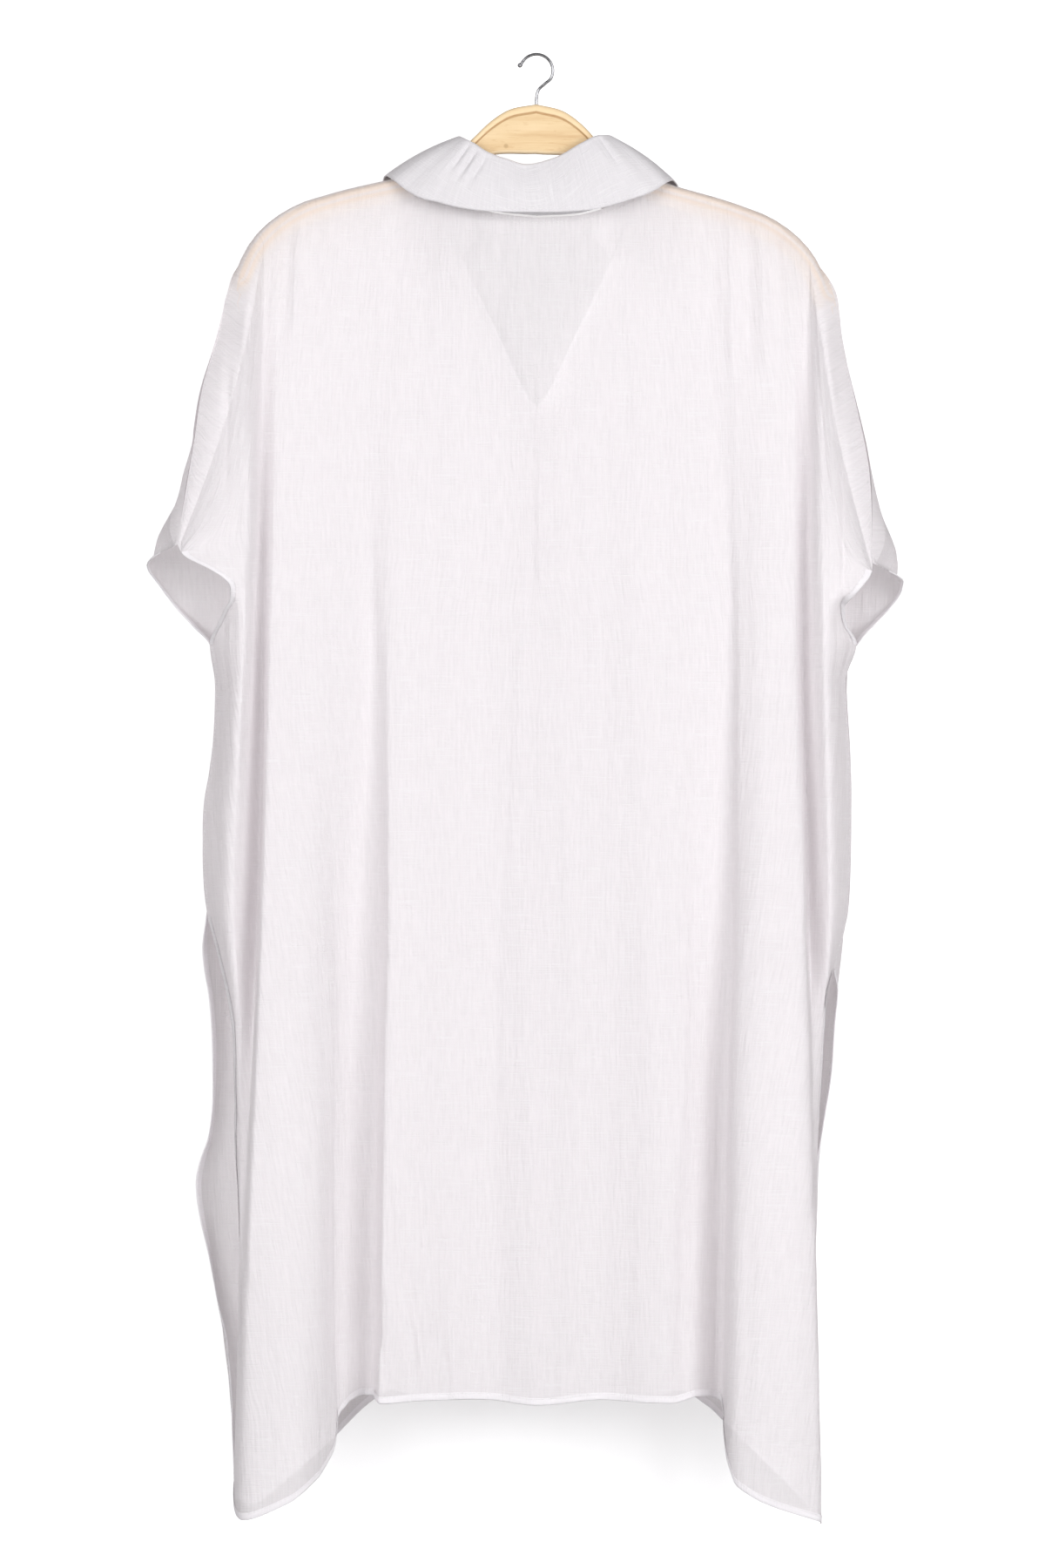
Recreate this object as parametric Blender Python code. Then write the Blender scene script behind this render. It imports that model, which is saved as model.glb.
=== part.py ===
"""A loose, cap-sleeved button-up shirt of crinkled white cloth, hanging on a wooden hanger.

The shirt is cut wide and almost square, with the sleeves in one with the body. It hangs from
the hanger's top edge, and the cloth past the hanger's ends drops and folds at the sides.
Every panel is a wall of cloth swept through horizontal sections. Each section runs through
the same named fold lines, and a table gives each fold line's distance from the middle of the
shirt and its depth at a few heights. The back is on +Y, the buttoned front on -Y, and the
origin is where a rail carries the hook. Tables are in millimetres, all else is in metres.
"""

import math

import bmesh
import bpy
import numpy as np

MM = 0.001
WALL = 1.2 * MM          # cloth, as a wall
COLLAR_WALL = 1.4 * MM   # two layers of cloth and an interfacing
GAP = 0.3 * MM           # between pieces that meet at a seam

HANGER_THICKNESS = 12 * MM
HANGER_EDGE_ROUND = 4.5 * MM
HANGER_TILT = math.radians(1.5)
HANGER_PEAK = -36.5 * MM  # top of the wood, at the hook

HOOK_WIRE = 2.2 * MM
HOOK_RADIUS = 12.3 * MM   # to the middle of the wire
HOOK_SOCKET = 12 * MM     # how deep the stem goes into the wood
HOOK_ARC = (208, 32)      # degrees, from the stem's side round the top to the open end
# Places on the wire, (distance from the middle, height): where it leaves the stem and sways
# over to the arc, and where it flares past the arc to its knob.
HOOK_SWAY = ((0, -32.7), (-1.6, -25.7), (-6.4, -21))
HOOK_FLARE = ((12.3, -7.1), (14, -7.8))
HOOK_KNOB = (1.35, 1.6, 1.35, 0.6)  # the wire's last widths, against its own

BUTTON_DIAMETER = 11 * MM
BUTTON_THICKNESS = 2.2 * MM
BUTTON_COUNT = 8
FIRST_BUTTON = 279 * MM   # below the rail
BUTTON_SPACING = 92 * MM
# Half of a button's section: distance from its middle, against its radius, and share of its
# thickness, from the face that lies on the band.
BUTTON_PROFILE = ((0, 0), (0.82, 0), (1, 0.3), (1, 0.7), (0.82, 1), (0, 1))
BAND_WIDTH = 25 * MM
BAND_WALL = 1.0 * MM
OVERLAP = 13 * MM         # how far each front passes the middle
LAP_FULL = 20 * MM        # the upper front is lifted in full this near the middle,
LAP_NONE = 60 * MM        # and not at all from here on

# Half of the wood's top edge and half of its bottom edge: distance from the middle, height.
HANGER_TOP = (
    (0, -36.5), (20.9, -41.4), (33.9, -50.2), (45, -61.3), (57, -73.5), (72, -84.5),
    (90, -91.8), (112, -97.6), (151, -108), (174, -116.6), (190, -126.5), (205, -141),
    (214, -155), (219.5, -169),
)
HANGER_TIP = ((221, -177), (218, -183.5), (212.5, -181.5))
HANGER_BOTTOM = (
    (207, -167), (196, -151), (180, -138), (152, -125), (116, -115), (88, -106.5),
    (66, -95), (50, -83.5), (36, -76.5), (0, -73.5),
)

# How far the middle of the cloth lies from the wood: distance from the hanger's middle, lift.
# The cloth bears on the straight of each arm, and stands a little off where it bends round it.
CLOTH_LIFT = ((90, 1.75), (105, 0.95), (160, 0.95), (175, 1.6), (205, 2.6))
SEAM_ON_WOOD = (92, 150)  # the shoulder seam lies on the wood from this distance to this drop
SEAM_SPARE = 1.15         # how much more than the gap parts two walls, for their flat facets

# Heights, in millimetres below the rail, at which the fold tables give the sections.
HEIGHTS = (150, 440, 640, 740, 1050)

# A fold line's row: name, where it leaves the top edge, height of the rounding there, height
# of the hem, then its distance from the middle and its depth at each of HEIGHTS. It leaves
# the top edge at -1 for the middle of the neck, 0 for the neck's end of the shoulder seam,
# and 1 for the sleeve's end of it.
BACK_LEFT = (
    ("centre", -1.0, 12, 1009, (0, 0, 0, 0, 0), (12, 18, 22, 24, 28)),
    ("ripple", -0.6, 12, 1005, (36, 36, 36, 36, 36), (11.5, 16, 19, 20.5, 23)),
    ("plain", -0.22, 10, 1005, (70, 74, 75, 75, 75), (10, 19, 25, 28, 33)),
    ("neck_point", 0.0, 5, 1006, (88, 91, 93, 95, 97), (8.6, 20.5, 28, 32, 39)),
    ("inner_lip", 0.06, 5, 1007, (109, 110, 110, 112, 118), (8.6, 21, 30, 34, 43)),
    ("inner_valley", 0.11, 5, 1003, (127, 124, 122, 124, 126), (8.6, 13, 12, 11, 8)),
    ("wing_slope", 0.174, 5, 1018, (150, 150, 150, 150, 148), (8.6, 20, 24, 26, 28)),
    ("wing_ridge", 0.255, 5, 1073, (178, 177, 176, 178, 182), (8.6, 27, 36, 41, 56)),
    ("outer_lip", 0.30, 5, 1093, (191, 198, 203.5, 207, 218), (8.6, 26, 38, 43, 50)),
    ("furrow", 0.35, 6, 1078, (204, 205.5, 209, 213, 226), (8.6, 0, -3, 6, 20)),
    ("side_ridge", 0.50, 22, 1073, (215, 219, 227, 221, 225), (14, 33, 30, 15, 8)),
)
BACK_RIGHT = (
    ("centre", -1.0, 12, 1009, (0, 0, 0, 0, 0), (12, 18, 22, 24, 28)),
    ("ripple", -0.5, 12, 1005, (46, 50, 50, 50, 50), (11, 17, 21, 22.5, 24)),
    ("plain", -0.18, 10, 1007, (74, 82, 88, 90, 90), (10, 20, 26, 29, 33)),
    ("neck_point", 0.0, 5, 1006, (88, 99, 107, 110, 108), (8.6, 19, 25, 27, 29)),
    ("slope", 0.06, 5, 1003, (108, 119, 122, 122, 122), (8.6, 18, 21, 22, 20)),
    ("valley", 0.11, 5, 1006, (128, 143, 142, 139, 137), (8.6, 15, 12, 9, 4)),
    ("wing_lip", 0.174, 5, 1030, (148, 152, 150, 147, 142), (8.6, 22, 29, 34, 47)),
    ("wing_ridge", 0.255, 5, 1077, (178, 173, 173, 172, 172), (8.6, 29, 39, 44, 57)),
    ("outer_lip", 0.30, 5, 1095, (191, 194, 199, 202, 212), (8.6, 25, 35, 39, 48)),
    ("furrow", 0.35, 6, 1094, (204, 199.5, 204.5, 206, 212), (8.6, 0, -2, 16, 24)),
    ("side_ridge", 0.50, 22, 1090, (214, 215, 219, 213, 208), (14, 30, 24, 11.5, 10)),
)
FRONT = (
    ("opening", -1.0, 12, 1006, (-13, -13, -13, -13, -13), (13, 17, 20, 22, 27)),
    ("lap", -0.76, 12, 1006, (14, 14, 14, 14, 14), (13, 17, 20, 22, 27)),
    ("plain", -0.6, 12, 1006, (32, 32, 32, 32, 32), (13, 17, 20, 22, 27)),
    ("hollow", -0.3, 12, 1003, (60, 60, 60, 60, 60), (12.5, 14, 15, 16, 17)),
    ("neck_point", 0.0, 5, 1005, (88, 88, 88, 88, 90), (8.6, 20, 26, 29, 34)),
    ("valley", 0.11, 5, 1004, (125, 120, 117, 117, 117), (8.6, 15, 16, 17, 18)),
    ("wing_ridge", 0.215, 5, 1050, (163, 162, 162, 163, 166), (8.6, 30, 38, 42, 52)),
)
# The fronts share those lines, and each has its own at its side.
FRONT_SIDE_LEFT = (
    ("outer_lip", 0.30, 5, 1084, (191, 198, 202, 204, 206), (8.6, 27, 34, 38, 46)),
    ("furrow", 0.35, 6, 1087, (204, 208, 212, 213, 213), (8.6, 13, 14, 22, 38)),
    ("side_ridge", 0.50, 22, 1085, (217, 228, 230, 228, 221), (12, 31, 30, 29, 31)),
)
FRONT_SIDE_RIGHT = (
    ("outer_lip", 0.30, 5, 1084, (191, 198, 202, 202, 200), (8.6, 27, 34, 38, 47)),
    ("furrow", 0.35, 6, 1088, (204, 208, 212, 209, 204), (8.6, 13, 14, 21, 38)),
    ("side_ridge", 0.50, 22, 1089, (217, 228, 228, 215, 208), (12, 31, 30, 30, 32)),
)

# The shoulder seam past the hanger's end: distance from the middle, depth, height.
LOOSE_SEAM_LEFT = (
    (228.4, 2, -165), (233.5, 4, -184), (242.4, 8, -216), (252, 13, -249), (257.7, 20, -292),
    (268.2, 28, -366.7),
)
LOOSE_SEAM_RIGHT = (
    (225.5, 2, -178), (228, 3, -201), (234, 5, -231), (241, 7, -262), (249, 12, -303),
    (251.2, 22, -380.4),
)

# The side edge of each panel, from the cuff down: height below the rail, distance from the
# middle, depth. The two panels share the sewn stretch between the cuff and the slit.
CUFF_BACK_LEFT = (
    (366.7, 268.2, 28), (375.8, 262, 33), (385.6, 243, 37), (392, 233, 37), (398.7, 228, 34),
    (408.5, 229, 27), (415, 233, 18), (424.8, 237.5, 9), (441, 244.7, 0.5),
)
CUFF_FRONT_LEFT = (
    (366.7, 268.2, 28), (377, 288, 19), (382, 291.5, 7), (398, 282, -14), (413, 271, -24),
    (427, 258, -20), (441, 244.7, -0.5),
)
CUFF_BACK_RIGHT = (
    (380.4, 251.2, 22), (388, 250, 26), (398, 243, 29), (406, 236, 26), (414, 231, 14),
    (425, 232, 5), (441, 240, 0.5),
)
CUFF_FRONT_RIGHT = (
    (380.4, 251.2, 22), (386, 263, 17), (394, 275, 6), (400, 274, -4), (425, 254, -15),
    (436, 244, -8), (441, 240, -0.5),
)
SIDE_SEAM_LEFT = ((472, 240.8), (506, 242), (537, 245), (560, 249), (589, 250), (640, 247))
SIDE_SEAM_RIGHT = ((468, 232), (523, 235), (558, 236), (621, 235), (645, 233), (683, 223))
SLIT_BACK_LEFT = (
    (670, 239, 4), (705, 231, 8), (733, 227, 9), (770, 226, 6), (805, 226, 0), (840, 224, -7),
    (900, 222, -13), (1000, 221, -14), (1080, 219, -8),
)
SLIT_FRONT_LEFT = (
    (670, 250.3, -6), (708, 245.3, -10), (760, 242.7, -13), (808, 245.5, -16), (830, 253, -16),
    (846, 255.5, -16), (870, 252.5, -16), (895, 246.6, -16), (935, 239, -14), (966, 232.5, -12),
    (1036, 227.7, -10), (1080, 226, -9),
)
SLIT_BACK_RIGHT = (
    (700, 217.5, 4), (725, 215.5, 7), (767, 213, 8), (806, 210, 6), (840, 206, 0),
    (900, 204, -8), (1000, 203, -10), (1090, 204, -6),
)
SLIT_FRONT_RIGHT = (
    (700, 226, -5), (725, 223.8, -9), (767, 221, -12), (800, 215.7, -16), (840, 209.5, -20),
    (900, 208, -21), (1000, 209, -20), (1090, 206, -16),
)
# Where the front of each sleeve rolls round to the back: height, distance, depth.
SLEEVE_ROLL_LEFT = (
    (280, 254, -10), (330, 268, -6), (367, 286, -6), (381, 288, -10), (398, 277, -24),
    (413, 264, -31), (427, 250, -32), (441, 240, -21), (540, 240, -20), (640, 242, -18),
    (740, 237, -22), (846, 243, -27), (1050, 226, -22),
)
SLEEVE_ROLL_RIGHT = (
    (290, 247, -8), (340, 258, -6), (380, 271, -8), (399, 268, -15), (425, 248, -26),
    (441, 235, -20), (540, 232, -20), (640, 231.5, -18), (740, 221, -20), (846, 212, -26),
    (1050, 209, -25),
)
ROLL_START = 0.77
ROLL_CAP = 30
ROLL_HEM = 1081
EDGE_HEM = {"back_left": 1078, "back_right": 1091, "front_left": 1077, "front_right": 1090}

# The neckline, from the middle to the shoulder: start, distance from the middle, depth, and
# height before the hanger tilts. It ends on the wood, at the neck's end of the shoulder seam.
NECK_BACK = (
    (-1.0, 0, 13, -122), (-0.6, 36, 12.6, -118), (-0.3, 62, 11, -108.5), (-0.1, 80, 8.8, -98),
    (-0.045, 84.5, 6.8, -91.3), (0.0, 88, 0, -87.4),
)
NECK_FRONT = (
    (-1.0, -13, -14.6, -268), (-0.9, 0, -14.5, -262), (-0.62, 30, -13.8, -206),
    (-0.38, 56, -13, -152), (-0.22, 69, -12.4, -122), (-0.1, 80, -10, -101),
    (-0.045, 84.5, -7.3, -92.4), (0.0, 88, 0, -87.4),
)

# Columns of the panels' meshes, along the top edge. Their rows go down the rounding at that
# edge, then to just below the cuff, down the cuff to the underarm, and on to the hem.
NECK_COLUMNS = (-1.0, -0.86, -0.7, -0.55, -0.38, -0.3, -0.22, -0.1, -0.045)
SEAM_COLUMNS = (
    0.0, 0.06, 0.085, 0.11, 0.142, 0.174, 0.215, 0.255, 0.30, 0.325, 0.35, 0.375, 0.40, 0.425,
    0.455, 0.485, 0.53, 0.60, 0.69, 0.77, 0.85, 0.93, 1.0,
)
CAP_ROWS = (0.0, 0.18, 0.42, 0.7, 1.0)
# The power that crowds those first rows towards the edge, at each column.
CAP_CROWDING = ((-0.001, 1), (0, 2), (0.77, 2), (0.93, 1))
UPPER_ROWS = (0.25, 0.5, 0.75, 1.0)
CUFF_ROWS = (0.19, 0.34, 0.5, 0.66, 0.83, 1.0)
LOWER_ROWS = (0.06, 0.15, 0.27, 0.41, 0.57, 0.76, 1.0)
CUFF_TOP = 6      # the first row down the cuff, below the notch where the seam meets it
NOTCH_CAP = 5.4   # height of the rounding at that notch
LOOSE_CAP = 160   # how much the rounding grows along the loose stretch of the shoulder seam
UNDERARM = 441
NECK_EASE = 160   # how far below the neckline its columns reach their place in the sections

# The collar's sections, at the neckline's own columns: way round from the middle of the back
# (0) over the shoulder (1) to the front end, then the fold's and the outer edge's distance,
# depth and height.
COLLAR_LEFT = (
    (0, (6, 15, -82.5), (0, 26, -118.6)),
    (0.22, (22, 15, -78.5), (22, 26.5, -118.4)),
    (0.45, (36, 15, -73.5), (46, 26.5, -117)),
    (0.7, (47, 13.5, -66.5), (72, 25, -111.5)),
    (0.9, (53, 9, -63.5), (97, 19, -102)),
    (0.955, (55, 5, -62.5), (107, 13, -94)),
    (1.0, (56, 0, -62), (113, 0, -90)),
    (1.045, (56, -5, -63.5), (115, -10, -94)),
    (1.1, (56, -10, -67), (113.5, -16, -99)),
    (1.22, (53, -16.5, -87), (108, -22, -120)),
    (1.38, (46, -21, -136), (93, -26, -171)),
)
COLLAR_RIGHT = (
    (0.22, (15, 15, -77), (22, 26.5, -118.4)),
    (0.45, (32, 15, -67.5), (46, 26.5, -116)),
    (0.7, (44, 13.5, -61.5), (70, 25, -109)),
    (0.9, (50, 9, -60.8), (90, 19, -101)),
    (0.955, (53, 5, -61), (98, 13, -95.5)),
    (1.0, (54, 0, -62), (102.5, 0, -93.5)),
    (1.045, (55, -5, -64), (106, -10, -97)),
    (1.1, (55.5, -10, -69), (107, -16, -102)),
    (1.22, (53.5, -16.5, -90), (106.5, -22, -124)),
    (1.38, (46, -21, -136), (93, -26, -172)),
)
COLLAR_SEAT = 1.5 * MM       # the collar's seam above the middle of the neckline's wall
COLLAR_END = -0.38            # the neckline's column where each end of the collar sits
COLLAR_FOLD_RADIUS = 2.4 * MM
COLLAR_LEAF_CROWN = 2.5 * MM  # how far the leaf bows outwards between its fold and its edge


def through(knots, values, at, level=False):
    """Values at each of `at` on a smooth curve through (knots, values), held past its ends.

    A level curve turns only at its knots: it never swings past the values on either side.
    """
    knots = np.asarray(knots, float)
    values = np.asarray(values, float)
    steps = np.diff(knots).reshape([-1] + [1] * (values.ndim - 1))
    rises = np.diff(values, axis=0) / steps
    before = np.concatenate([rises[:1], rises])
    after = np.concatenate([rises, rises[-1:]])
    width_before = np.concatenate([steps[:1], steps])
    width_after = np.concatenate([steps, steps[-1:]])
    slopes = (before * width_after + after * width_before) / (width_before + width_after)
    if level:
        most = 3 * np.minimum(np.abs(before), np.abs(after)) * (before * after > 0)
        slopes = np.clip(slopes, -most, most)
    at = np.clip(np.asarray(at, float), knots[0], knots[-1])
    piece = np.clip(np.searchsorted(knots, at, side="right") - 1, 0, len(knots) - 2)
    width = knots[piece + 1] - knots[piece]
    share = (at - knots[piece]) / width
    shape = at.shape + (1,) * (values.ndim - 1)
    share = share.reshape(shape)
    width = width.reshape(shape)
    return (
        values[piece] * (1 + 2 * share) * (1 - share) ** 2
        + slopes[piece] * width * share * (1 - share) ** 2
        + values[piece + 1] * share**2 * (3 - 2 * share)
        - slopes[piece + 1] * width * share**2 * (1 - share)
    )


def tilted(points):
    """Points of the hanger's outline (x, z), turned about its peak as it hangs."""
    points = np.asarray(points, float)
    x = points[:, 0]
    z = points[:, 1] - HANGER_PEAK
    turn_x = x * math.cos(HANGER_TILT) - z * math.sin(HANGER_TILT)
    turn_z = x * math.sin(HANGER_TILT) + z * math.cos(HANGER_TILT)
    return np.stack([turn_x, turn_z + HANGER_PEAK], axis=1)


def smooth_path(points, count):
    """`count` points, evenly spaced by length, on a smooth curve through the given ones."""
    points = np.asarray(points, float)
    knots = np.concatenate([[0], np.cumsum(np.linalg.norm(np.diff(points, axis=0), axis=1))])
    return through(knots, points, np.linspace(0, knots[-1], count))


def shoulder_seam(side, neck_end, loose):
    """(shares, points) of the shoulder seam, from the neck over the wood and down the sleeve."""
    wood = tilted(smooth_path(HANGER_TOP, 60) * MM * (side, 1))
    nearest, lowest = np.array(SEAM_ON_WOOD) * MM
    wood = wood[(np.abs(wood[:, 0]) > nearest) & (wood[:, 1] > -lowest)]
    on_wood = np.stack([wood[:, 0], np.zeros(len(wood)), wood[:, 1]], axis=1)
    free = np.array(loose) * MM * (side, 1, 1)
    points = smooth_path(np.concatenate([[neck_end], on_wood, free]), 120)
    shares = np.concatenate([[0], np.cumsum(np.linalg.norm(np.diff(points, axis=0), axis=1))])
    return shares / shares[-1], points


def neckline(table, side, columns):
    """Points of one half of the neckline, tilted with the hanger."""
    rows = np.array(table, float)
    points = rows[:, 1:] * MM * (side, 1, 1)
    points[:, 2] += points[:, 0] * math.tan(HANGER_TILT)
    return through(rows[:, 0], points, columns)


def side_edge(cuff, seam, slit):
    """(height, distance, depth) rows of a panel's whole side edge."""
    sewn = [(height, across, 0) for height, across in seam]
    return np.array(list(cuff) + sewn + list(slit), float)


def unit(vectors):
    return vectors / np.linalg.norm(vectors, axis=-1, keepdims=True)


def hanger_outline():
    """The plate's closed outline (x, z), as it hangs."""
    half = [smooth_path(HANGER_TOP, 26), np.array(HANGER_TIP), smooth_path(HANGER_BOTTOM, 18)]
    left = np.concatenate(half) * MM
    right = left[1:-1][::-1] * (-1, 1)
    return tilted(np.concatenate([left, right]))


def clear_of_wood(points):
    """The points, each pushed straight out of the hanger's rounded plate to the cloth's lift."""
    start = hanger_outline()
    step = np.roll(start, -1, axis=0) - start
    flat = points.reshape(-1, 3)
    from_start = flat[:, None, ::2] - start
    share = np.clip(np.sum(from_start * step, axis=2) / np.sum(step * step, axis=1), 0, 1)
    offsets = from_start - share[..., None] * step
    nearest = np.argmin(np.linalg.norm(offsets, axis=2), axis=1)
    offset = offsets[np.arange(len(flat)), nearest]
    above = start[:, 1] > flat[:, 2:]
    crosses = above != np.roll(above, -1, axis=1)
    slope = step[:, 0] / np.where(step[:, 1] == 0, 1, step[:, 1])
    right_of = from_start[..., 0] < from_start[..., 1] * slope
    inside = np.sum(crosses & right_of, axis=1) % 2 == 1
    outward = unit(offset + 1e-12) * np.where(inside, -1, 1)[:, None]
    edge = np.sum(offset * outward, axis=1) + HANGER_EDGE_ROUND
    face = np.abs(flat[:, 1]) - HANGER_THICKNESS / 2 + HANGER_EDGE_ROUND
    at_corner = (edge > 0) & (face > 0)
    reach = np.where(at_corner, np.hypot(edge, face), np.maximum(edge, face))
    lift = np.interp(np.abs(flat[:, 0]), *np.transpose(CLOTH_LIFT) * MM)
    need = np.maximum(lift + HANGER_EDGE_ROUND - reach, 0)
    over_edge = np.where(at_corner, edge / reach, edge > face) * need
    over_face = np.where(at_corner, face / reach, edge <= face) * need
    moved = flat.copy()
    moved[:, ::2] += outward * over_edge[:, None]
    moved[:, 1] += np.where(flat[:, 1] < 0, -1, 1) * over_face
    return moved.reshape(points.shape)


def leaving(edge, inner):
    """The direction in which a wall leaves each point of its edge, square to the edge."""
    along = unit(np.gradient(edge, axis=0))
    inward = inner - edge
    return unit(inward - along * np.sum(inward * along, axis=1, keepdims=True))


def part_seam(first, first_next, second, second_next):
    """Moves two panels' edges apart along their seam, so that the walls clear by the gap."""
    meets = np.linalg.norm(first - second, axis=1) < 2 * WALL
    middle = (first + second) / 2
    first_way = leaving(middle, first_next)
    second_way = leaving(middle, second_next)
    apart = unit(first_way - second_way)
    for edge, way, sign in ((first, first_way, 1), (second, second_way, -1)):
        lean = np.linalg.norm(np.cross(apart, way), axis=1, keepdims=True)
        moved = middle + sign * apart * (SEAM_SPARE * GAP + WALL * lean) / 2
        edge[meets] = moved[meets]


def fold_lines(table, depth_sign, edge, edge_hem, roll=None):
    """Fold lines as dictionaries: start, cap, hem, and rows of (height, distance, depth)."""
    lines = []
    for _, start, cap, hem, across, depth in table:
        rows = np.stack([HEIGHTS, across, depth_sign * np.array(depth)], axis=1)
        lines.append({"start": start, "cap": cap, "hem": hem, "rows": rows})
    if roll is not None:
        rows = np.array(roll, float)
        lines.append({"start": ROLL_START, "cap": ROLL_CAP, "hem": ROLL_HEM, "rows": rows})
    lines.append({"start": 1.0, "cap": NOTCH_CAP, "hem": edge_hem, "rows": edge})
    return lines


def section_points(lines, places, heights):
    """Distance and depth on the sections at `heights`, at `places` across the fold lines."""
    stack = []
    for line in lines:
        rows = line["rows"]
        stack.append(through(rows[:, 0], rows[:, 1:], heights, level=True))
    stack = np.stack(stack)
    reach = np.linalg.norm(np.diff(stack, axis=0), axis=-1).mean(axis=(1, 2))
    knots = np.concatenate([[0], np.cumsum(reach)])
    at = np.interp(places, [line["start"] for line in lines], knots)
    result = np.empty(heights.shape + (2,))
    for column in range(heights.shape[1]):
        here = at[column : column + 1]
        result[:, column] = through(knots, stack[:, :, column], here, level=True)[0]
    return result


def panel_grid(lines, neck, loose_seam, side, columns):
    """Points (rows, columns, 3) of one half panel's middle surface."""
    columns = np.asarray(columns, float)
    starts = [line["start"] for line in lines]
    on_neck = neckline(neck, side, np.minimum(columns, 0))
    shares, points = shoulder_seam(side, on_neck[-1], loose_seam)
    on_seam = through(shares, points, np.maximum(columns, 0))
    top = np.where(columns[:, None] < 0, on_neck, on_seam) * (side, 1, 1)
    hems = through(starts, [line["hem"] for line in lines], columns)
    caps = np.interp(columns, starts, [line["cap"] for line in lines])
    loose = (columns > 0.5) & (columns < 1)
    caps[loose] += LOOSE_CAP * (columns[loose] - 0.5) * (1 - columns[loose])
    top_height = -top[:, 2] / MM
    notch = top_height[-1]
    crowding = np.interp(columns, *zip(*CAP_CROWDING))
    parts = [top_height + caps * np.array(CAP_ROWS)[:, None] ** crowding]
    for bottom, shares in (
        (np.full(len(columns), notch + CUFF_TOP), UPPER_ROWS),
        (np.full(len(columns), UNDERARM), CUFF_ROWS),
        (hems, LOWER_ROWS),
    ):
        start = parts[-1][-1]
        parts.append(start + (bottom - start) * np.array(shares)[:, None])
    heights = np.concatenate(parts)
    flat = section_points(lines, columns, heights)
    at_top = section_points(lines, columns, top_height[None, :])[0]
    below = heights - top_height
    rounding = (1 - np.sqrt(np.clip(below / caps, 0, 1))) ** 2
    easing = (1 - np.clip(below / NECK_EASE, 0, 1)) ** 2
    shift = top[:, :2] / MM - at_top
    flat[..., 0] += np.where(columns < 0, easing, rounding) * shift[:, 0]
    flat[..., 1] += rounding * shift[:, 1]
    grid = np.empty(heights.shape + (3,))
    grid[..., 0] = flat[..., 0] * side * MM
    grid[..., 1] = flat[..., 1] * MM
    grid[..., 2] = -heights * MM
    return clear_of_wood(grid)


def material(name, colour, roughness, metallic=0.0):
    made = bpy.data.materials.new(name)
    made.use_nodes = True
    shader = made.node_tree.nodes["Principled BSDF"]
    shader.inputs["Base Color"].default_value = (*colour, 1)
    shader.inputs["Roughness"].default_value = roughness
    shader.inputs["Metallic"].default_value = metallic
    made.diffuse_color = (*colour, 1)
    return made


def add_object(name, mesh, finish):
    made = bpy.data.objects.new(name, mesh)
    bpy.context.scene.collection.objects.link(made)
    made.data.materials.append(finish)
    return made


def cloth_object(name, grid, finish, wall=WALL):
    """A wall of cloth: the grid's surface, thickened on both sides."""
    rows, columns = grid.shape[:2]
    index = np.arange(rows * columns).reshape(rows, columns)
    corners = (index[:-1, :-1], index[1:, :-1], index[1:, 1:], index[:-1, 1:])
    faces = np.stack(corners, axis=-1).reshape(-1, 4)
    mesh = bpy.data.meshes.new(name)
    mesh.from_pydata(grid.reshape(-1, 3).tolist(), [], faces.tolist())
    mesh.shade_smooth()
    made = add_object(name, mesh, finish)
    thicken = made.modifiers.new("Thickness", "SOLIDIFY")
    thicken.thickness = wall
    thicken.offset = 0
    return made


def moved_out(grid, distance):
    """The grid moved along its own normals, outwards for a front panel."""
    down = np.gradient(grid, axis=0)
    across = np.gradient(grid, axis=1)
    normal = np.cross(down, across)
    normal /= np.linalg.norm(normal, axis=-1, keepdims=True)
    if normal[..., 1].mean() > 0:
        normal = -normal
    return grid + normal * distance


def collar_grid(seam):
    """The collar's middle surface over its seam: stand, fold and leaf, from front to front."""
    mirror = (-1, 1, 1)
    right = [(-way, np.multiply(fold, mirror), np.multiply(edge, mirror))
             for way, fold, edge in reversed(COLLAR_RIGHT)]
    rows = right + list(COLLAR_LEFT)
    knots = [row[0] for row in rows]
    columns = [1 + column for column in NECK_COLUMNS + (0.0,)]
    front = [2 - column for column in columns if column >= 1 + COLLAR_END and column < 1]
    at = sorted(columns + front + [-column for column in columns[1:] + front])
    fold, edge = (through(knots, np.array([row[k] for row in rows]) * MM, at) for k in (1, 2))
    outward = edge - seam
    upward = fold - (seam + edge) / 2
    upward /= np.linalg.norm(upward, axis=1, keepdims=True)
    outward -= upward * np.sum(outward * upward, axis=1, keepdims=True)
    outward /= np.linalg.norm(outward, axis=1, keepdims=True)
    centre = fold - upward * COLLAR_FOLD_RADIUS
    inner = centre - outward * COLLAR_FOLD_RADIUS
    outer = centre + outward * COLLAR_FOLD_RADIUS
    lines = [seam + (inner - seam) * share for share in (0, 0.5)]
    for angle in np.radians((180, 120, 60, 0)):
        reach = outward * math.cos(angle) + upward * math.sin(angle)
        lines.append(centre + reach * COLLAR_FOLD_RADIUS)
    for share in (0.33, 0.67, 1.0):
        crown = outward * COLLAR_LEAF_CROWN * 4 * share * (1 - share)
        lines.append(outer + (edge - outer) * share + crown)
    return clear_of_wood(np.stack(lines))


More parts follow.
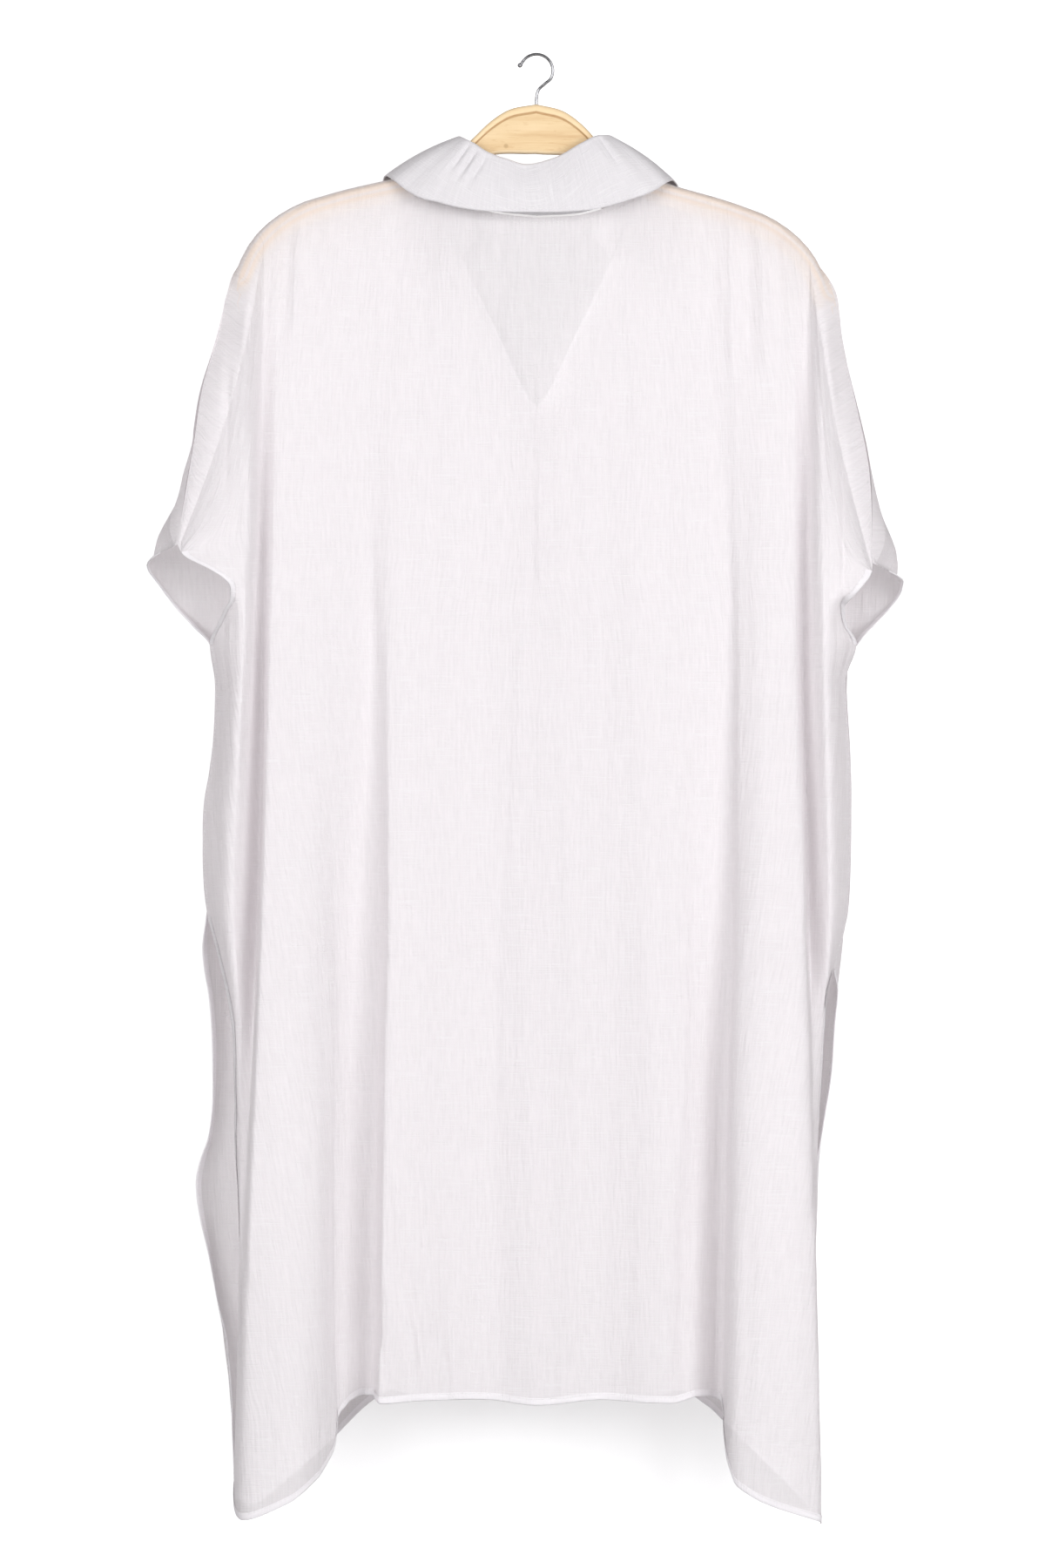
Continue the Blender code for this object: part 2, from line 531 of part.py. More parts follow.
def hanger_plate(finish):
    """The wooden plate: one outline extruded to its thickness, with rounded edges."""
    work = bmesh.new()
    ring = [work.verts.new((x, -HANGER_THICKNESS / 2, z)) for x, z in hanger_outline()]
    face = work.faces.new(ring)
    extruded = bmesh.ops.extrude_face_region(work, geom=[face])
    moved = [item for item in extruded["geom"] if isinstance(item, bmesh.types.BMVert)]
    bmesh.ops.translate(work, verts=moved, vec=(0, HANGER_THICKNESS, 0))
    bmesh.ops.recalc_face_normals(work, faces=work.faces)
    mesh = bpy.data.meshes.new("hanger_plate")
    work.to_mesh(mesh)
    work.free()
    plate = add_object("hanger_plate", mesh, finish)
    rounding = plate.modifiers.new("Rounded edges", "BEVEL")
    rounding.width = HANGER_EDGE_ROUND
    rounding.segments = 2
    rounding.limit_method = "ANGLE"
    rounding.angle_limit = math.radians(60)
    socket = plate.modifiers.new("Hook socket", "BOOLEAN")
    socket.object = hook_socket_cutter()
    socket.operation = "DIFFERENCE"
    return plate


def hook_socket_cutter():
    depth = HOOK_SOCKET + GAP
    bpy.ops.mesh.primitive_cylinder_add(
        vertices=12,
        radius=HOOK_WIRE / 2 + 2 * GAP,
        depth=2 * depth,
        location=(0, 0, HANGER_PEAK),
    )
    cutter = bpy.context.object
    cutter.name = "hook_socket_cutter"
    cutter.hide_render = True
    cutter.display_type = "WIRE"
    return cutter


def hook_route():
    """(points, widths) along the hook's wire, from inside the wood to its knob."""
    centre = HOOK_WIRE / 2 - HOOK_RADIUS
    stem = np.array([(0, HANGER_PEAK - HOOK_SOCKET), (0, HANGER_PEAK)])
    bend = np.radians(np.linspace(*HOOK_ARC, 12))
    arc = np.stack([np.cos(bend), np.sin(bend)], axis=1) * HOOK_RADIUS + (0, centre)
    sway, flare = np.array(HOOK_SWAY) * MM, np.array(HOOK_FLARE) * MM
    line = smooth_path(np.concatenate([stem, sway, arc, flare]), 56)
    widths = np.ones(len(line))
    widths[-len(HOOK_KNOB) :] = HOOK_KNOB
    return np.stack([line[:, 0], np.zeros(len(line)), line[:, 1]], axis=1), widths


def hanger_hook(finish):
    points, widths = hook_route()
    curve = bpy.data.curves.new("hook", "CURVE")
    curve.dimensions = "3D"
    curve.bevel_depth = HOOK_WIRE / 2
    curve.bevel_resolution = 2
    curve.use_fill_caps = True
    spline = curve.splines.new("POLY")
    spline.points.add(len(points) - 1)
    for point, place, width in zip(spline.points, points, widths):
        point.co = (*place, 1)
        point.radius = width
    return add_object("hook", curve, finish)


def button(number, place, finish):
    """A flat round button with a rounded edge, facing the front."""
    radius = BUTTON_DIAMETER / 2
    work = bmesh.new()
    points = [work.verts.new((radius * r, -BUTTON_THICKNESS * t, 0)) for r, t in BUTTON_PROFILE]
    edges = [work.edges.new(pair) for pair in zip(points, points[1:])]
    bmesh.ops.spin(
        work, geom=edges, axis=(0, 1, 0), cent=(0, 0, 0), steps=12, angle=2 * math.pi,
        use_merge=True,
    )
    bmesh.ops.remove_doubles(work, verts=work.verts, dist=1e-6)
    bmesh.ops.recalc_face_normals(work, faces=work.faces)
    mesh = bpy.data.meshes.new(f"button_{number}")
    work.to_mesh(mesh)
    work.free()
    made = add_object(f"button_{number}", mesh, finish)
    made.location = place
    return made


def clear_scene():
    for old in list(bpy.data.objects):
        bpy.data.objects.remove(old, do_unlink=True)


def mirrored(line):
    """A fold line of the other half, as this half's own line past the middle."""
    return {**line, "start": -2 - line["start"], "rows": line["rows"] * (1, -1, 1)}


def build_panels(cloth):
    """The back and the two fronts. Returns their grids, for what is sewn to them."""
    columns = NECK_COLUMNS + SEAM_COLUMNS
    edges = {
        "back_left": side_edge(CUFF_BACK_LEFT, SIDE_SEAM_LEFT, SLIT_BACK_LEFT),
        "back_right": side_edge(CUFF_BACK_RIGHT, SIDE_SEAM_RIGHT, SLIT_BACK_RIGHT),
        "front_left": side_edge(CUFF_FRONT_LEFT, SIDE_SEAM_LEFT, SLIT_FRONT_LEFT),
        "front_right": side_edge(CUFF_FRONT_RIGHT, SIDE_SEAM_RIGHT, SLIT_FRONT_RIGHT),
    }
    lines = {}
    for name, table, roll in (
        ("back_left", BACK_LEFT, None),
        ("back_right", BACK_RIGHT, None),
        ("front_left", FRONT + FRONT_SIDE_LEFT, SLEEVE_ROLL_LEFT),
        ("front_right", FRONT + FRONT_SIDE_RIGHT, SLEEVE_ROLL_RIGHT),
    ):
        depth_sign = 1 if name.startswith("back") else -1
        lines[name] = fold_lines(table, depth_sign, edges[name], EDGE_HEM[name], roll)
    past_middle = mirrored(lines["back_right"][1]), mirrored(lines["back_left"][1])
    lines["back_left"].insert(0, past_middle[0])
    lines["back_right"].insert(0, past_middle[1])
    grids = {}
    for word, side, loose in (("left", 1, LOOSE_SEAM_LEFT), ("right", -1, LOOSE_SEAM_RIGHT)):
        back = panel_grid(lines[f"back_{word}"], NECK_BACK, loose, side, columns)
        front = panel_grid(lines[f"front_{word}"], NECK_FRONT, loose, side, columns)
        sewn = len(NECK_COLUMNS)
        part_seam(back[0, sewn:], back[1, sewn:], front[0, sewn:], front[1, sewn:])
        part_seam(back[1:, -1], back[1:, -2], front[1:, -1], front[1:, -2])
        if word == "right":
            front = lapped_over(front)
        grids[f"back_{word}"] = back
        grids[f"front_{word}"] = front
        cloth_object(f"front_{word}", front, cloth)
    whole_back = np.concatenate([grids["back_right"][:, :0:-1], grids["back_left"]], axis=1)
    cloth_object("back", whole_back, cloth)
    return grids


def neck_seam(grids):
    """The collar's seam line, just above the neckline, from its right front end to its left."""
    halves = []
    for word in ("left", "right"):
        lines = []
        for face in ("back", "front"):
            grid = grids[f"{face}_{word}"][:, : len(NECK_COLUMNS) + 1]
            lines.append(grid[0] - leaving(grid[0], grid[1]) * COLLAR_SEAT)
        back, front = lines
        shoulder = (back[-1:] + front[-1:]) / 2 + (0, 0, COLLAR_SEAT)
        reached = [column >= COLLAR_END for column in NECK_COLUMNS] + [False]
        halves.append(np.concatenate([back[:-1], shoulder, front[reached][::-1]]))
    return np.concatenate([halves[1][:0:-1], halves[0]])


def lapped_over(grid):
    """The right front, lifted clear of the left front and its band where it laps over them."""
    lift = WALL + BAND_WALL + 3 * GAP
    near = np.clip((LAP_NONE - np.abs(grid[..., 0])) / (LAP_NONE - LAP_FULL), 0, 1)
    lifted = grid.copy()
    lifted[..., 1] -= lift * near * near * (3 - 2 * near)
    return lifted


def band_grid(front, side):
    """A strip of the front's own points, from its edge to the band's stitching, moved out."""
    inner_edge = side * (BAND_WIDTH - OVERLAP)
    rows = front[len(CAP_ROWS) - 2 :]
    strip = []
    for row in rows:
        x = row[:, 0] * side
        order = np.argsort(x)
        at = np.linspace(x[0], inner_edge * side, 3)
        depths, heights = (np.interp(at, x[order], row[order, k]) for k in (1, 2))
        strip.append(np.stack([side * at, depths, heights], axis=1))
    return moved_out(np.array(strip), WALL / 2 + GAP + BAND_WALL / 2)


def main():
    clear_scene()
    cloth = material("white crinkled cloth", (0.93, 0.925, 0.935), 0.85)
    wood = material("pale varnished wood", (0.86, 0.63, 0.36), 0.45)
    metal = material("polished steel wire", (0.62, 0.62, 0.63), 0.25, metallic=1.0)
    pearl = material("white button", (0.94, 0.94, 0.92), 0.3)

    hanger_plate(wood)
    hanger_hook(metal)
    grids = build_panels(cloth)
    cloth_object("collar", collar_grid(neck_seam(grids)), cloth, COLLAR_WALL)
    bands = {}
    for word, side in (("left", 1), ("right", -1)):
        bands[word] = band_grid(grids[f"front_{word}"], side)
        cloth_object(f"band_{word}", bands[word], cloth, BAND_WALL)
    face = bands["right"][:, 1]
    for number in range(BUTTON_COUNT):
        height = -(FIRST_BUTTON + number * BUTTON_SPACING)
        depth = np.interp(-height, -face[:, 2], face[:, 1]) - BAND_WALL / 2 - 2 * GAP
        button(number + 1, (0, depth, height), pearl)


main()
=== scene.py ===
"""A loose button-up shirt of crinkled white cloth on a wooden hanger, seen from behind.

The shirt is cut wide and almost square, and its short sleeves are cut in one with the body. It
hangs from the hanger's top edge. The cloth past the hanger's ends drops and folds at the sides.
The script builds the hanger first and then the shirt piece by piece, in the order in which it is
sewn: back, fronts, bands, buttons, collar. The room, the light and the camera come last. The
back is on +Y and the buttoned front on -Y. Tables are in millimetres, all else is in metres.
"""

import math

import bmesh
import bpy
import numpy as np
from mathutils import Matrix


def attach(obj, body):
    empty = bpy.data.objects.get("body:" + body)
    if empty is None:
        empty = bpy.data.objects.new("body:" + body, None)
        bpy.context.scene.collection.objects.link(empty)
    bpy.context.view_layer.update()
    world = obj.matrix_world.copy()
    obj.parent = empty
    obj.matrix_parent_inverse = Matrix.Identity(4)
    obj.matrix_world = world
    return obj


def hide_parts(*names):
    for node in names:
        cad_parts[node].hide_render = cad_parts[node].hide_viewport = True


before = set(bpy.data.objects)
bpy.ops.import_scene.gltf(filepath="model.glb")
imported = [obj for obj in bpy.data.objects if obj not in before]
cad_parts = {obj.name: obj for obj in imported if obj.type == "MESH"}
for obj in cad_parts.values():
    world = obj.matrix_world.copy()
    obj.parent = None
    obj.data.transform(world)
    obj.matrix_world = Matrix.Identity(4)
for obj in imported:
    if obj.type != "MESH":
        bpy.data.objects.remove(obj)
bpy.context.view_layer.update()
MM = 0.001


# The hanger's plate: one board of pale beech, sawn to an arch, its edges rounded over and its
# faces routed with a shallow groove that follows the top edge. It is sanded and varnished, and
# the shirt's shoulders rest on it. Half of its top and bottom edges are given as (distance from
# the middle, height), and it hangs a little out of level.
PLATE_THICKNESS = 12 * MM
PLATE_EDGE_ROUND = 4.5 * MM
PLATE_TILT = math.radians(1.5)
PLATE_PEAK = -36.5 * MM
PLATE_TOP = (
    (0, -36.5), (20.9, -41.4), (33.9, -50.2), (45, -61.3), (57, -73.5), (72, -84.5),
    (90, -91.8), (112, -97.6), (151, -108), (174, -116.6), (190, -126.5), (205, -141),
    (214, -155), (219.5, -169),
)
PLATE_TIP = ((221, -177), (218, -183.5), (212.5, -181.5))
PLATE_BOTTOM = (
    (207, -167), (196, -151), (180, -138), (152, -125), (116, -115), (88, -106.5),
    (66, -95), (50, -83.5), (36, -76.5), (0, -73.5),
)
# Past the last full section, the two edges close on each other round the tip, and the last
# section shrinks to PLATE_END of its size.
PLATE_CLOSING = (
    ((220.6, -174), (208.8, -171.5)), ((220.8, -179), (210, -176.5)),
    ((219, -182.8), (211.6, -180.3)), ((216.2, -184), (213.4, -182.6)),
)
PLATE_END = 0.02
GROOVE_FROM_EDGE = 5.2 * MM
GROOVE_WIDTH = 2.0 * MM
GROOVE_DEPTH = 0.9 * MM


def through(knots, values, at, level=False):
    """Values at each of `at` on a smooth curve through (knots, values), held past its ends.

    A level curve turns only at its knots: it never swings past the values on either side.
    """
    knots = np.asarray(knots, float)
    values = np.asarray(values, float)
    steps = np.diff(knots).reshape([-1] + [1] * (values.ndim - 1))
    rises = np.diff(values, axis=0) / steps
    before = np.concatenate([rises[:1], rises])
    after = np.concatenate([rises, rises[-1:]])
    width_before = np.concatenate([steps[:1], steps])
    width_after = np.concatenate([steps, steps[-1:]])
    slopes = (before * width_after + after * width_before) / (width_before + width_after)
    if level:
        most = 3 * np.minimum(np.abs(before), np.abs(after)) * (before * after > 0)
        slopes = np.clip(slopes, -most, most)
    at = np.clip(np.asarray(at, float), knots[0], knots[-1])
    piece = np.clip(np.searchsorted(knots, at, side="right") - 1, 0, len(knots) - 2)
    width = knots[piece + 1] - knots[piece]
    share = (at - knots[piece]) / width
    shape = at.shape + (1,) * (values.ndim - 1)
    share = share.reshape(shape)
    width = width.reshape(shape)
    return (
        values[piece] * (1 + 2 * share) * (1 - share) ** 2
        + slopes[piece] * width * share * (1 - share) ** 2
        + values[piece + 1] * share**2 * (3 - 2 * share)
        - slopes[piece + 1] * width * share**2 * (1 - share)
    )


def travelled(points, axis=0):
    """Distance along a line, or along each line of a grid, to every point on it."""
    steps = np.linalg.norm(np.diff(points, axis=axis), axis=-1)
    start = np.zeros_like(np.take(steps, [0], axis=axis))
    return np.concatenate([start, np.cumsum(steps, axis=axis)], axis=axis)


def smooth_path(points, count):
    """`count` points, evenly spaced by length, on a smooth curve through the given ones."""
    knots = travelled(points)
    return through(knots, points, np.linspace(0, knots[-1], count))


def tilted(points):
    """Points of the plate's outline (x, z), turned about its peak as it hangs."""
    points = np.asarray(points, float)
    x = points[..., 0]
    z = points[..., 1] - PLATE_PEAK
    turn_x = x * math.cos(PLATE_TILT) - z * math.sin(PLATE_TILT)
    turn_z = x * math.sin(PLATE_TILT) + z * math.cos(PLATE_TILT)
    return np.stack([turn_x, turn_z + PLATE_PEAK], axis=-1)


def plate_outline():
    """The board's whole outline (x, z), once round."""
    half = [smooth_path(PLATE_TOP, 26), np.array(PLATE_TIP), smooth_path(PLATE_BOTTOM, 18)]
    left = np.concatenate(half) * MM
    right = left[1:-1][::-1] * (-1, 1)
    return tilted(np.concatenate([left, right]))


def plate_section(height):
    """(distance below the top edge, depth) round one section of the board, of that height."""
    full = np.clip((height - 9 * MM) / (5 * MM), 0, 1)
    r = min(3.2 * MM, 0.42 * height)
    y = PLATE_THICKNESS / 2
    start = min(GROOVE_FROM_EDGE, 0.42 * height)
    floor = y - GROOVE_DEPTH * full
    turn = np.radians((0, 30, 60, 90))
    top = [(r - r * math.cos(t), y - r + r * math.sin(t)) for t in turn]
    middle = [
        (start - 0.2 * MM, y), (start + 0.15 * MM, y), (start + 0.55 * MM, floor),
        (start + GROOVE_WIDTH - 0.55 * MM, floor), (start + GROOVE_WIDTH - 0.15 * MM, y),
        (start + GROOVE_WIDTH + 0.2 * MM, y),
    ]
    face = [(s, d) for s, d in middle if s < height - r - 0.4 * MM or full > 0]
    bottom = [(height - r + r * math.sin(t), y - r + r * math.cos(t)) for t in turn]
    side = top + face + bottom
    if full == 0:
        side = top + [(height / 2, y)] * len(middle) + bottom
    return side + [(s, -d) for s, d in reversed(side)]


def new_object(name, data):
    """An object of a mesh, curve, lamp or camera, put in the scene."""
    made = bpy.data.objects.new(name, data)
    bpy.context.scene.collection.objects.link(made)
    return made


def smooth_mesh(name, points, faces, finish):
    """A smooth mesh of one material, which rides with the shirt."""
    mesh = bpy.data.meshes.new(name)
    mesh.from_pydata(points, [], faces)
    mesh.materials.append(finish)
    mesh.shade_smooth()
    made = new_object(name, mesh)
    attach(made, "root")
    return made


def grid_mesh(name, points, finish, places=None, around=False):
    """A smooth mesh over a grid of points (rows, columns, 3)."""
    rows, columns = points.shape[:2]
    index = np.arange(rows * columns).reshape(rows, columns)
    if around:
        index = np.concatenate([index, index[:, :1]], axis=1)
    corners = (index[:-1, :-1], index[1:, :-1], index[1:, 1:], index[:-1, 1:])
    faces = np.stack(corners, axis=-1).reshape(-1, 4)
    made = smooth_mesh(name, points.reshape(-1, 3).tolist(), faces.tolist(), finish)
    if places is not None:
        layer = made.data.uv_layers.new(name="cloth")
        layer.data.foreach_set("uv", places.reshape(-1, 2)[faces.reshape(-1)].reshape(-1))
    return made


def note_on(made, name, values):
    """Keep a value for each point of an object's mesh, for its material to read."""
    kept = made.data.attributes.new(name, "FLOAT", "POINT")
    kept.data.foreach_set("value", np.ascontiguousarray(values))


def add_node(tree, kind, sockets=None, **settings):
    """A shader node with its settings, and with each socket linked or set to a value."""
    made = tree.nodes.new(kind)
    for key, value in settings.items():
        setattr(made, key, value)
    for key, value in (sockets or {}).items():
        if isinstance(value, bpy.types.NodeSocket):
            tree.links.new(value, made.inputs[key])
        else:
            made.inputs[key].default_value = value
    return made


def new_finish(name, colour, roughness, others=None):
    """A material with its shader, and the tree to add to."""
    made = bpy.data.materials.new(name)
    made.use_nodes = True
    shader = made.node_tree.nodes["Principled BSDF"]
    values = {"Base Color": (*colour, 1), "Roughness": roughness, **(others or {})}
    for key, value in values.items():
        shader.inputs[key].default_value = value
    made.diffuse_color = (*colour, 1)
    return made, made.node_tree, shader


def object_place(tree):
    return add_node(tree, "ShaderNodeTexCoord").outputs["Object"]


def stretched(tree, place, scale):
    return add_node(tree, "ShaderNodeMapping", {"Vector": place, "Scale": scale}).outputs["Vector"]


def noise(tree, place, scale, detail, output="Fac", **others):
    """Soft noise of that scale and detail."""
    sockets = {"Vector": place, "Scale": scale, "Detail": detail, **others}
    return add_node(tree, "ShaderNodeTexNoise", sockets).outputs[output]


def maths(tree, first, second, operation="ADD"):
    made = add_node(tree, "ShaderNodeMath", {0: first, 1: second}, operation=operation)
    return made.outputs[0]


def band(tree, value, low, high, top=1.0, bottom=0.0):
    """A mask that goes from `bottom` to `top` as a value goes from `low` to `high`."""
    sockets = {"Value": value, "From Min": low, "From Max": high, "To Min": bottom, "To Max": top}
    return add_node(tree, "ShaderNodeMapRange", sockets).outputs["Result"]


def blend(tree, share, first, second, kind="MIX"):
    """Two colours mixed by a share. A plain colour is a tuple, as in new_finish."""
    first, second = ((*c, 1) if isinstance(c, tuple) else c for c in (first, second))
    sockets = {"Fac": share, "Color1": first, "Color2": second}
    return add_node(tree, "ShaderNodeMixRGB", sockets, blend_type=kind).outputs["Color"]


def raised(tree, shader, height, strength, distance):
    """Relief that follows a height: it bends the shader's normal."""
    sockets = {"Height": height, "Strength": strength, "Distance": distance}
    normal = add_node(tree, "ShaderNodeBump", sockets).outputs["Normal"]
    tree.links.new(normal, shader.inputs["Normal"])
    return normal


def colour_steps(tree, mask, steps):
    """A colour that follows a mask through (position, colour) steps."""
    ramp = add_node(tree, "ShaderNodeValToRGB", {"Fac": mask})
    elements = ramp.color_ramp.elements
    for element, (position, colour) in zip(elements, steps):
        element.position = position
        element.color = (*colour, 1)
    for position, colour in steps[2:]:
        elements.new(position).color = (*colour, 1)
    return ramp.outputs["Color"]


KNOT_PLACE = (22.8 * MM, 6 * MM, -68 * MM)
# Painted light on the board: painted highlights along its rounded top and bottom edges, and
# painted shade in its routed groove. Each row gives what the distance is measured from, the
# distance at which the change starts, and the tone nearer than that.
BEECH_EDGE_HIGHLIGHTS_AND_GROOVE_SHADE = (
    ("from_top", GROOVE_FROM_EDGE, (0.95, 0.74, 0.46)),
    ("from_bottom", 2.6 * MM, (0.97, 0.80, 0.55)),
    ("from_groove", 1.1 * MM, (0.38, 0.19, 0.07)),
)
EDGE_SOFTNESS = 0.6 * MM


def beech_finish():
    """Varnished beech: long soft grain, short dark flecks, a knot, a clear gloss coat, painted
    highlights on its rounded edges and painted shade in its groove.
    """
    made, tree, shader = new_finish(
        "varnished beech", (0.81, 0.60, 0.34), 0.42, {"Coat Weight": 0.35, "Coat Roughness": 0.25})
    place = object_place(tree)
    along = stretched(tree, place, (9, 120, 120))
    bent = blend(tree, 0.12, along, noise(tree, place, 9.0, 2.0, "Color"), "ADD")
    grain = noise(tree, bent, 1.0, 5.0, Roughness=0.62)
    flecks = noise(tree, stretched(tree, place, (150, 900, 900)), 1.0, 1.0)
    toned = colour_steps(tree, grain, (
        (0.28, (0.68, 0.44, 0.22)), (0.72, (0.88, 0.68, 0.42)), (0.5, (0.81, 0.60, 0.34)),
    ))
    toned = blend(tree, band(tree, flecks, 0.62, 0.72, 0.35), toned, (0.66, 0.42, 0.20))
    from_knot = add_node(
        tree, "ShaderNodeVectorMath", {0: place, 1: KNOT_PLACE}, operation="DISTANCE",
    ).outputs["Value"]
    knot = band(tree, from_knot, 2.2 * MM, 1.0 * MM, 0.5)
    toned = blend(tree, knot, toned, (0.42, 0.24, 0.10))
    # Painted highlights near the top and bottom edges, and painted shade along the groove.
    for edge, near, tone in BEECH_EDGE_HIGHLIGHTS_AND_GROOVE_SHADE:
        away = add_node(tree, "ShaderNodeAttribute", attribute_name=edge).outputs["Fac"]
        toned = blend(tree, band(tree, away, near, near - EDGE_SOFTNESS, 0.62), toned, tone)
    tree.links.new(toned, shader.inputs["Base Color"])
    raised(tree, shader, grain, 0.25, 0.2 * MM)
    return made


def hanger_wood():
    """The board, lofted through sections from tip to tip."""
    edges = []
    for table, closing in zip((PLATE_TOP, PLATE_BOTTOM[::-1]), zip(*PLATE_CLOSING)):
        half = np.concatenate([smooth_path(table, 80), closing])
        edges.append(tilted(np.concatenate([half[:0:-1] * (-1, 1), half]) * MM))
    rings, reaches = [], []
    for upper, lower in zip(*edges):
        height = np.linalg.norm(lower - upper)
        down = (lower - upper) / height
        section = plate_section(height)
        rings.append([np.insert(upper + down * s, 1, d) for s, d in section])
        reaches.append([(s, height - s) for s, _ in section])
    rings = np.array(rings)
    middles = rings[[0, -1]].mean(axis=1, keepdims=True)
    ends = middles + (rings[[0, -1]] - middles) * PLATE_END
    rings = np.concatenate([ends[:1], rings, ends[1:]])
    reaches = np.array([reaches[0]] + reaches + [reaches[-1]]).reshape(-1, 2)
    made = grid_mesh("hanger_wood", rings, beech_finish(), around=True)
    # Distances kept for the wood's painted edge highlights and painted groove shade.
    groove = np.abs(reaches[:, 0] - GROOVE_FROM_EDGE - GROOVE_WIDTH / 2)
    for (name, _, _), values in zip(BEECH_EDGE_HIGHLIGHTS_AND_GROOVE_SHADE, (reaches[:, 0], reaches[:, 1], groove)):
        note_on(made, name, values)
    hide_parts("hanger_plate")


hanger_wood()


# The hook: one length of polished steel wire, bent cold to an open loop that ends in a small
# ball. Its stem is pressed into a hole in the board's peak. Places on the wire are given as
# (distance from the middle, height).
HOOK_WIRE = 2.2 * MM
HOOK_RADIUS = 12.3 * MM
HOOK_IN_WOOD = 12 * MM
HOOK_ARC = (208, 32)
HOOK_SWAY = ((0, -32.7), (-1.6, -25.7), (-6.4, -21))
HOOK_FLARE = ((12.3, -7.1), (14, -7.8))


def hook_wire():
    """The wire on its route, from inside the wood to the ball at its end."""
    centre = HOOK_WIRE / 2 - HOOK_RADIUS
    stem = np.array([(0, PLATE_PEAK - HOOK_IN_WOOD), (0, PLATE_PEAK)])
    bend = np.radians(np.linspace(*HOOK_ARC, 12))
    arc = np.stack([np.cos(bend), np.sin(bend)], axis=1) * HOOK_RADIUS + (0, centre)
    sway, flare = np.array(HOOK_SWAY) * MM, np.array(HOOK_FLARE) * MM
    line = smooth_path(np.concatenate([stem, sway, arc, flare]), 220)
    from_end = travelled(line[::-1])[::-1] / (HOOK_WIRE / 2)
    ball = np.sqrt(np.clip(1.6**2 - (from_end - 1.6) ** 2, 0.01, None))
    widths = np.where(from_end < 3.0, np.maximum(ball, np.where(from_end > 2, 1, 0)), 1)
    curve = bpy.data.curves.new("hook_wire", "CURVE")
    curve.dimensions = "3D"
    curve.bevel_depth = HOOK_WIRE / 2
    curve.bevel_resolution = 5
    curve.use_fill_caps = True
    spline = curve.splines.new("POLY")
    spline.points.add(len(line) - 1)
    for point, (x, z), width in zip(spline.points, line, widths):
        point.co = (x, 0, z, 1)
        point.radius = width
    spline.use_smooth = True
    steel, tree, shader = new_finish(
        "polished steel wire", (0.34, 0.34, 0.35), 0.22, {"Metallic": 1.0})
    rubbed = noise(tree, object_place(tree), 420.0, 3.0)
    tree.links.new(band(tree, rubbed, 0, 1, 0.34, 0.14), shader.inputs["Roughness"])
    tint = colour_steps(tree, rubbed, ((0.35, (0.26, 0.26, 0.27)), (0.65, (0.42, 0.42, 0.43))))
    tree.links.new(tint, shader.inputs["Base Color"])
    curve.materials.append(steel)
    made = new_object("hook_wire", curve)
    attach(made, "root")
    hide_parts("hook")


hook_wire()


# The back: one wide panel of light crinkled cotton and viscose, with slubs in its threads. It is
# cut in one with the backs of the two short sleeves, hemmed narrow at the cuffs, the slits and
# the bottom, and sewn to the fronts along the shoulders and short side seams. A fold line's row
# gives its name, where it leaves the top edge, the height of the rounding there, the height of
# the hem, then its distance from the middle (one number where it runs straight down) and its
# depth at each of HEIGHTS. It leaves the top edge at -1 for the middle of the neck, 0 for the
# neck's end of the shoulder seam, 1 for the sleeve's end of it.
HEIGHTS = (150, 440, 640, 740, 1050)
BACK_LEFT = (
    ("centre", -1.0, 12, 1009, 0, (12, 18, 22, 24, 28)),
    ("ripple", -0.6, 12, 1005, 36, (11.5, 16, 19, 20.5, 23)),
    ("plain", -0.22, 10, 1005, (70, 74, 75, 75, 75), (10, 19, 25, 28, 33)),
    ("neck_point", 0.0, 5, 1006, (88, 91, 93, 95, 97), (8.6, 20.5, 28, 32, 39)),
    ("inner_lip", 0.06, 5, 1007, (109, 110, 110, 112, 118), (8.6, 21, 30, 34, 43)),
    ("inner_valley", 0.11, 5, 1003, (127, 124, 122, 124, 126), (8.6, 13, 12, 11, 8)),
    ("wing_slope", 0.174, 5, 1034, (150, 150, 150, 150, 148), (8.6, 20, 24, 26, 28)),
    ("wing_ridge", 0.255, 5, 1073, (178, 177, 176, 178, 182), (8.6, 27, 36, 41, 56)),
    ("outer_lip", 0.30, 5, 1093, (191, 198, 203.5, 207, 218), (8.6, 26, 38, 43, 50)),
    ("furrow", 0.35, 6, 1078, (204, 205.5, 209, 213, 226), (8.6, 6, 4, 11, 22)),
    ("side_ridge", 0.50, 22, 1073, (215, 219, 227, 221, 225), (14, 33, 30, 15, 8)),
)
BACK_RIGHT = (
    ("centre", -1.0, 12, 1009, 0, (12, 18, 22, 24, 28)),
    ("ripple", -0.5, 12, 1005, (46, 50, 50, 50, 50), (11, 17, 21, 22.5, 24)),
    ("plain", -0.18, 10, 1007, (74, 82, 88, 90, 90), (10, 20, 26, 29, 33)),
    ("neck_point", 0.0, 5, 1006, (88, 99, 107, 110, 108), (8.6, 19, 25, 27, 29)),
    ("slope", 0.06, 5, 1003, (108, 119, 122, 122, 122), (8.6, 18, 21, 22, 20)),
    ("valley", 0.11, 5, 1006, (128, 143, 142, 139, 137), (8.6, 15, 12, 9, 4)),
    ("wing_lip", 0.174, 5, 1030, (148, 152, 150, 147, 142), (8.6, 22, 29, 34, 47)),
    ("wing_ridge", 0.255, 5, 1077, (178, 173, 173, 172, 172), (8.6, 29, 39, 44, 57)),
    ("outer_lip", 0.30, 5, 1095, (191, 194, 199, 202, 212), (8.6, 25, 35, 39, 48)),
    ("furrow", 0.35, 6, 1094, (204, 199.5, 204.5, 206, 212), (8.6, 6, 5, 18, 25)),
    ("side_ridge", 0.50, 22, 1090, (214, 215, 219, 213, 208), (14, 30, 24, 11.5, 10)),
)
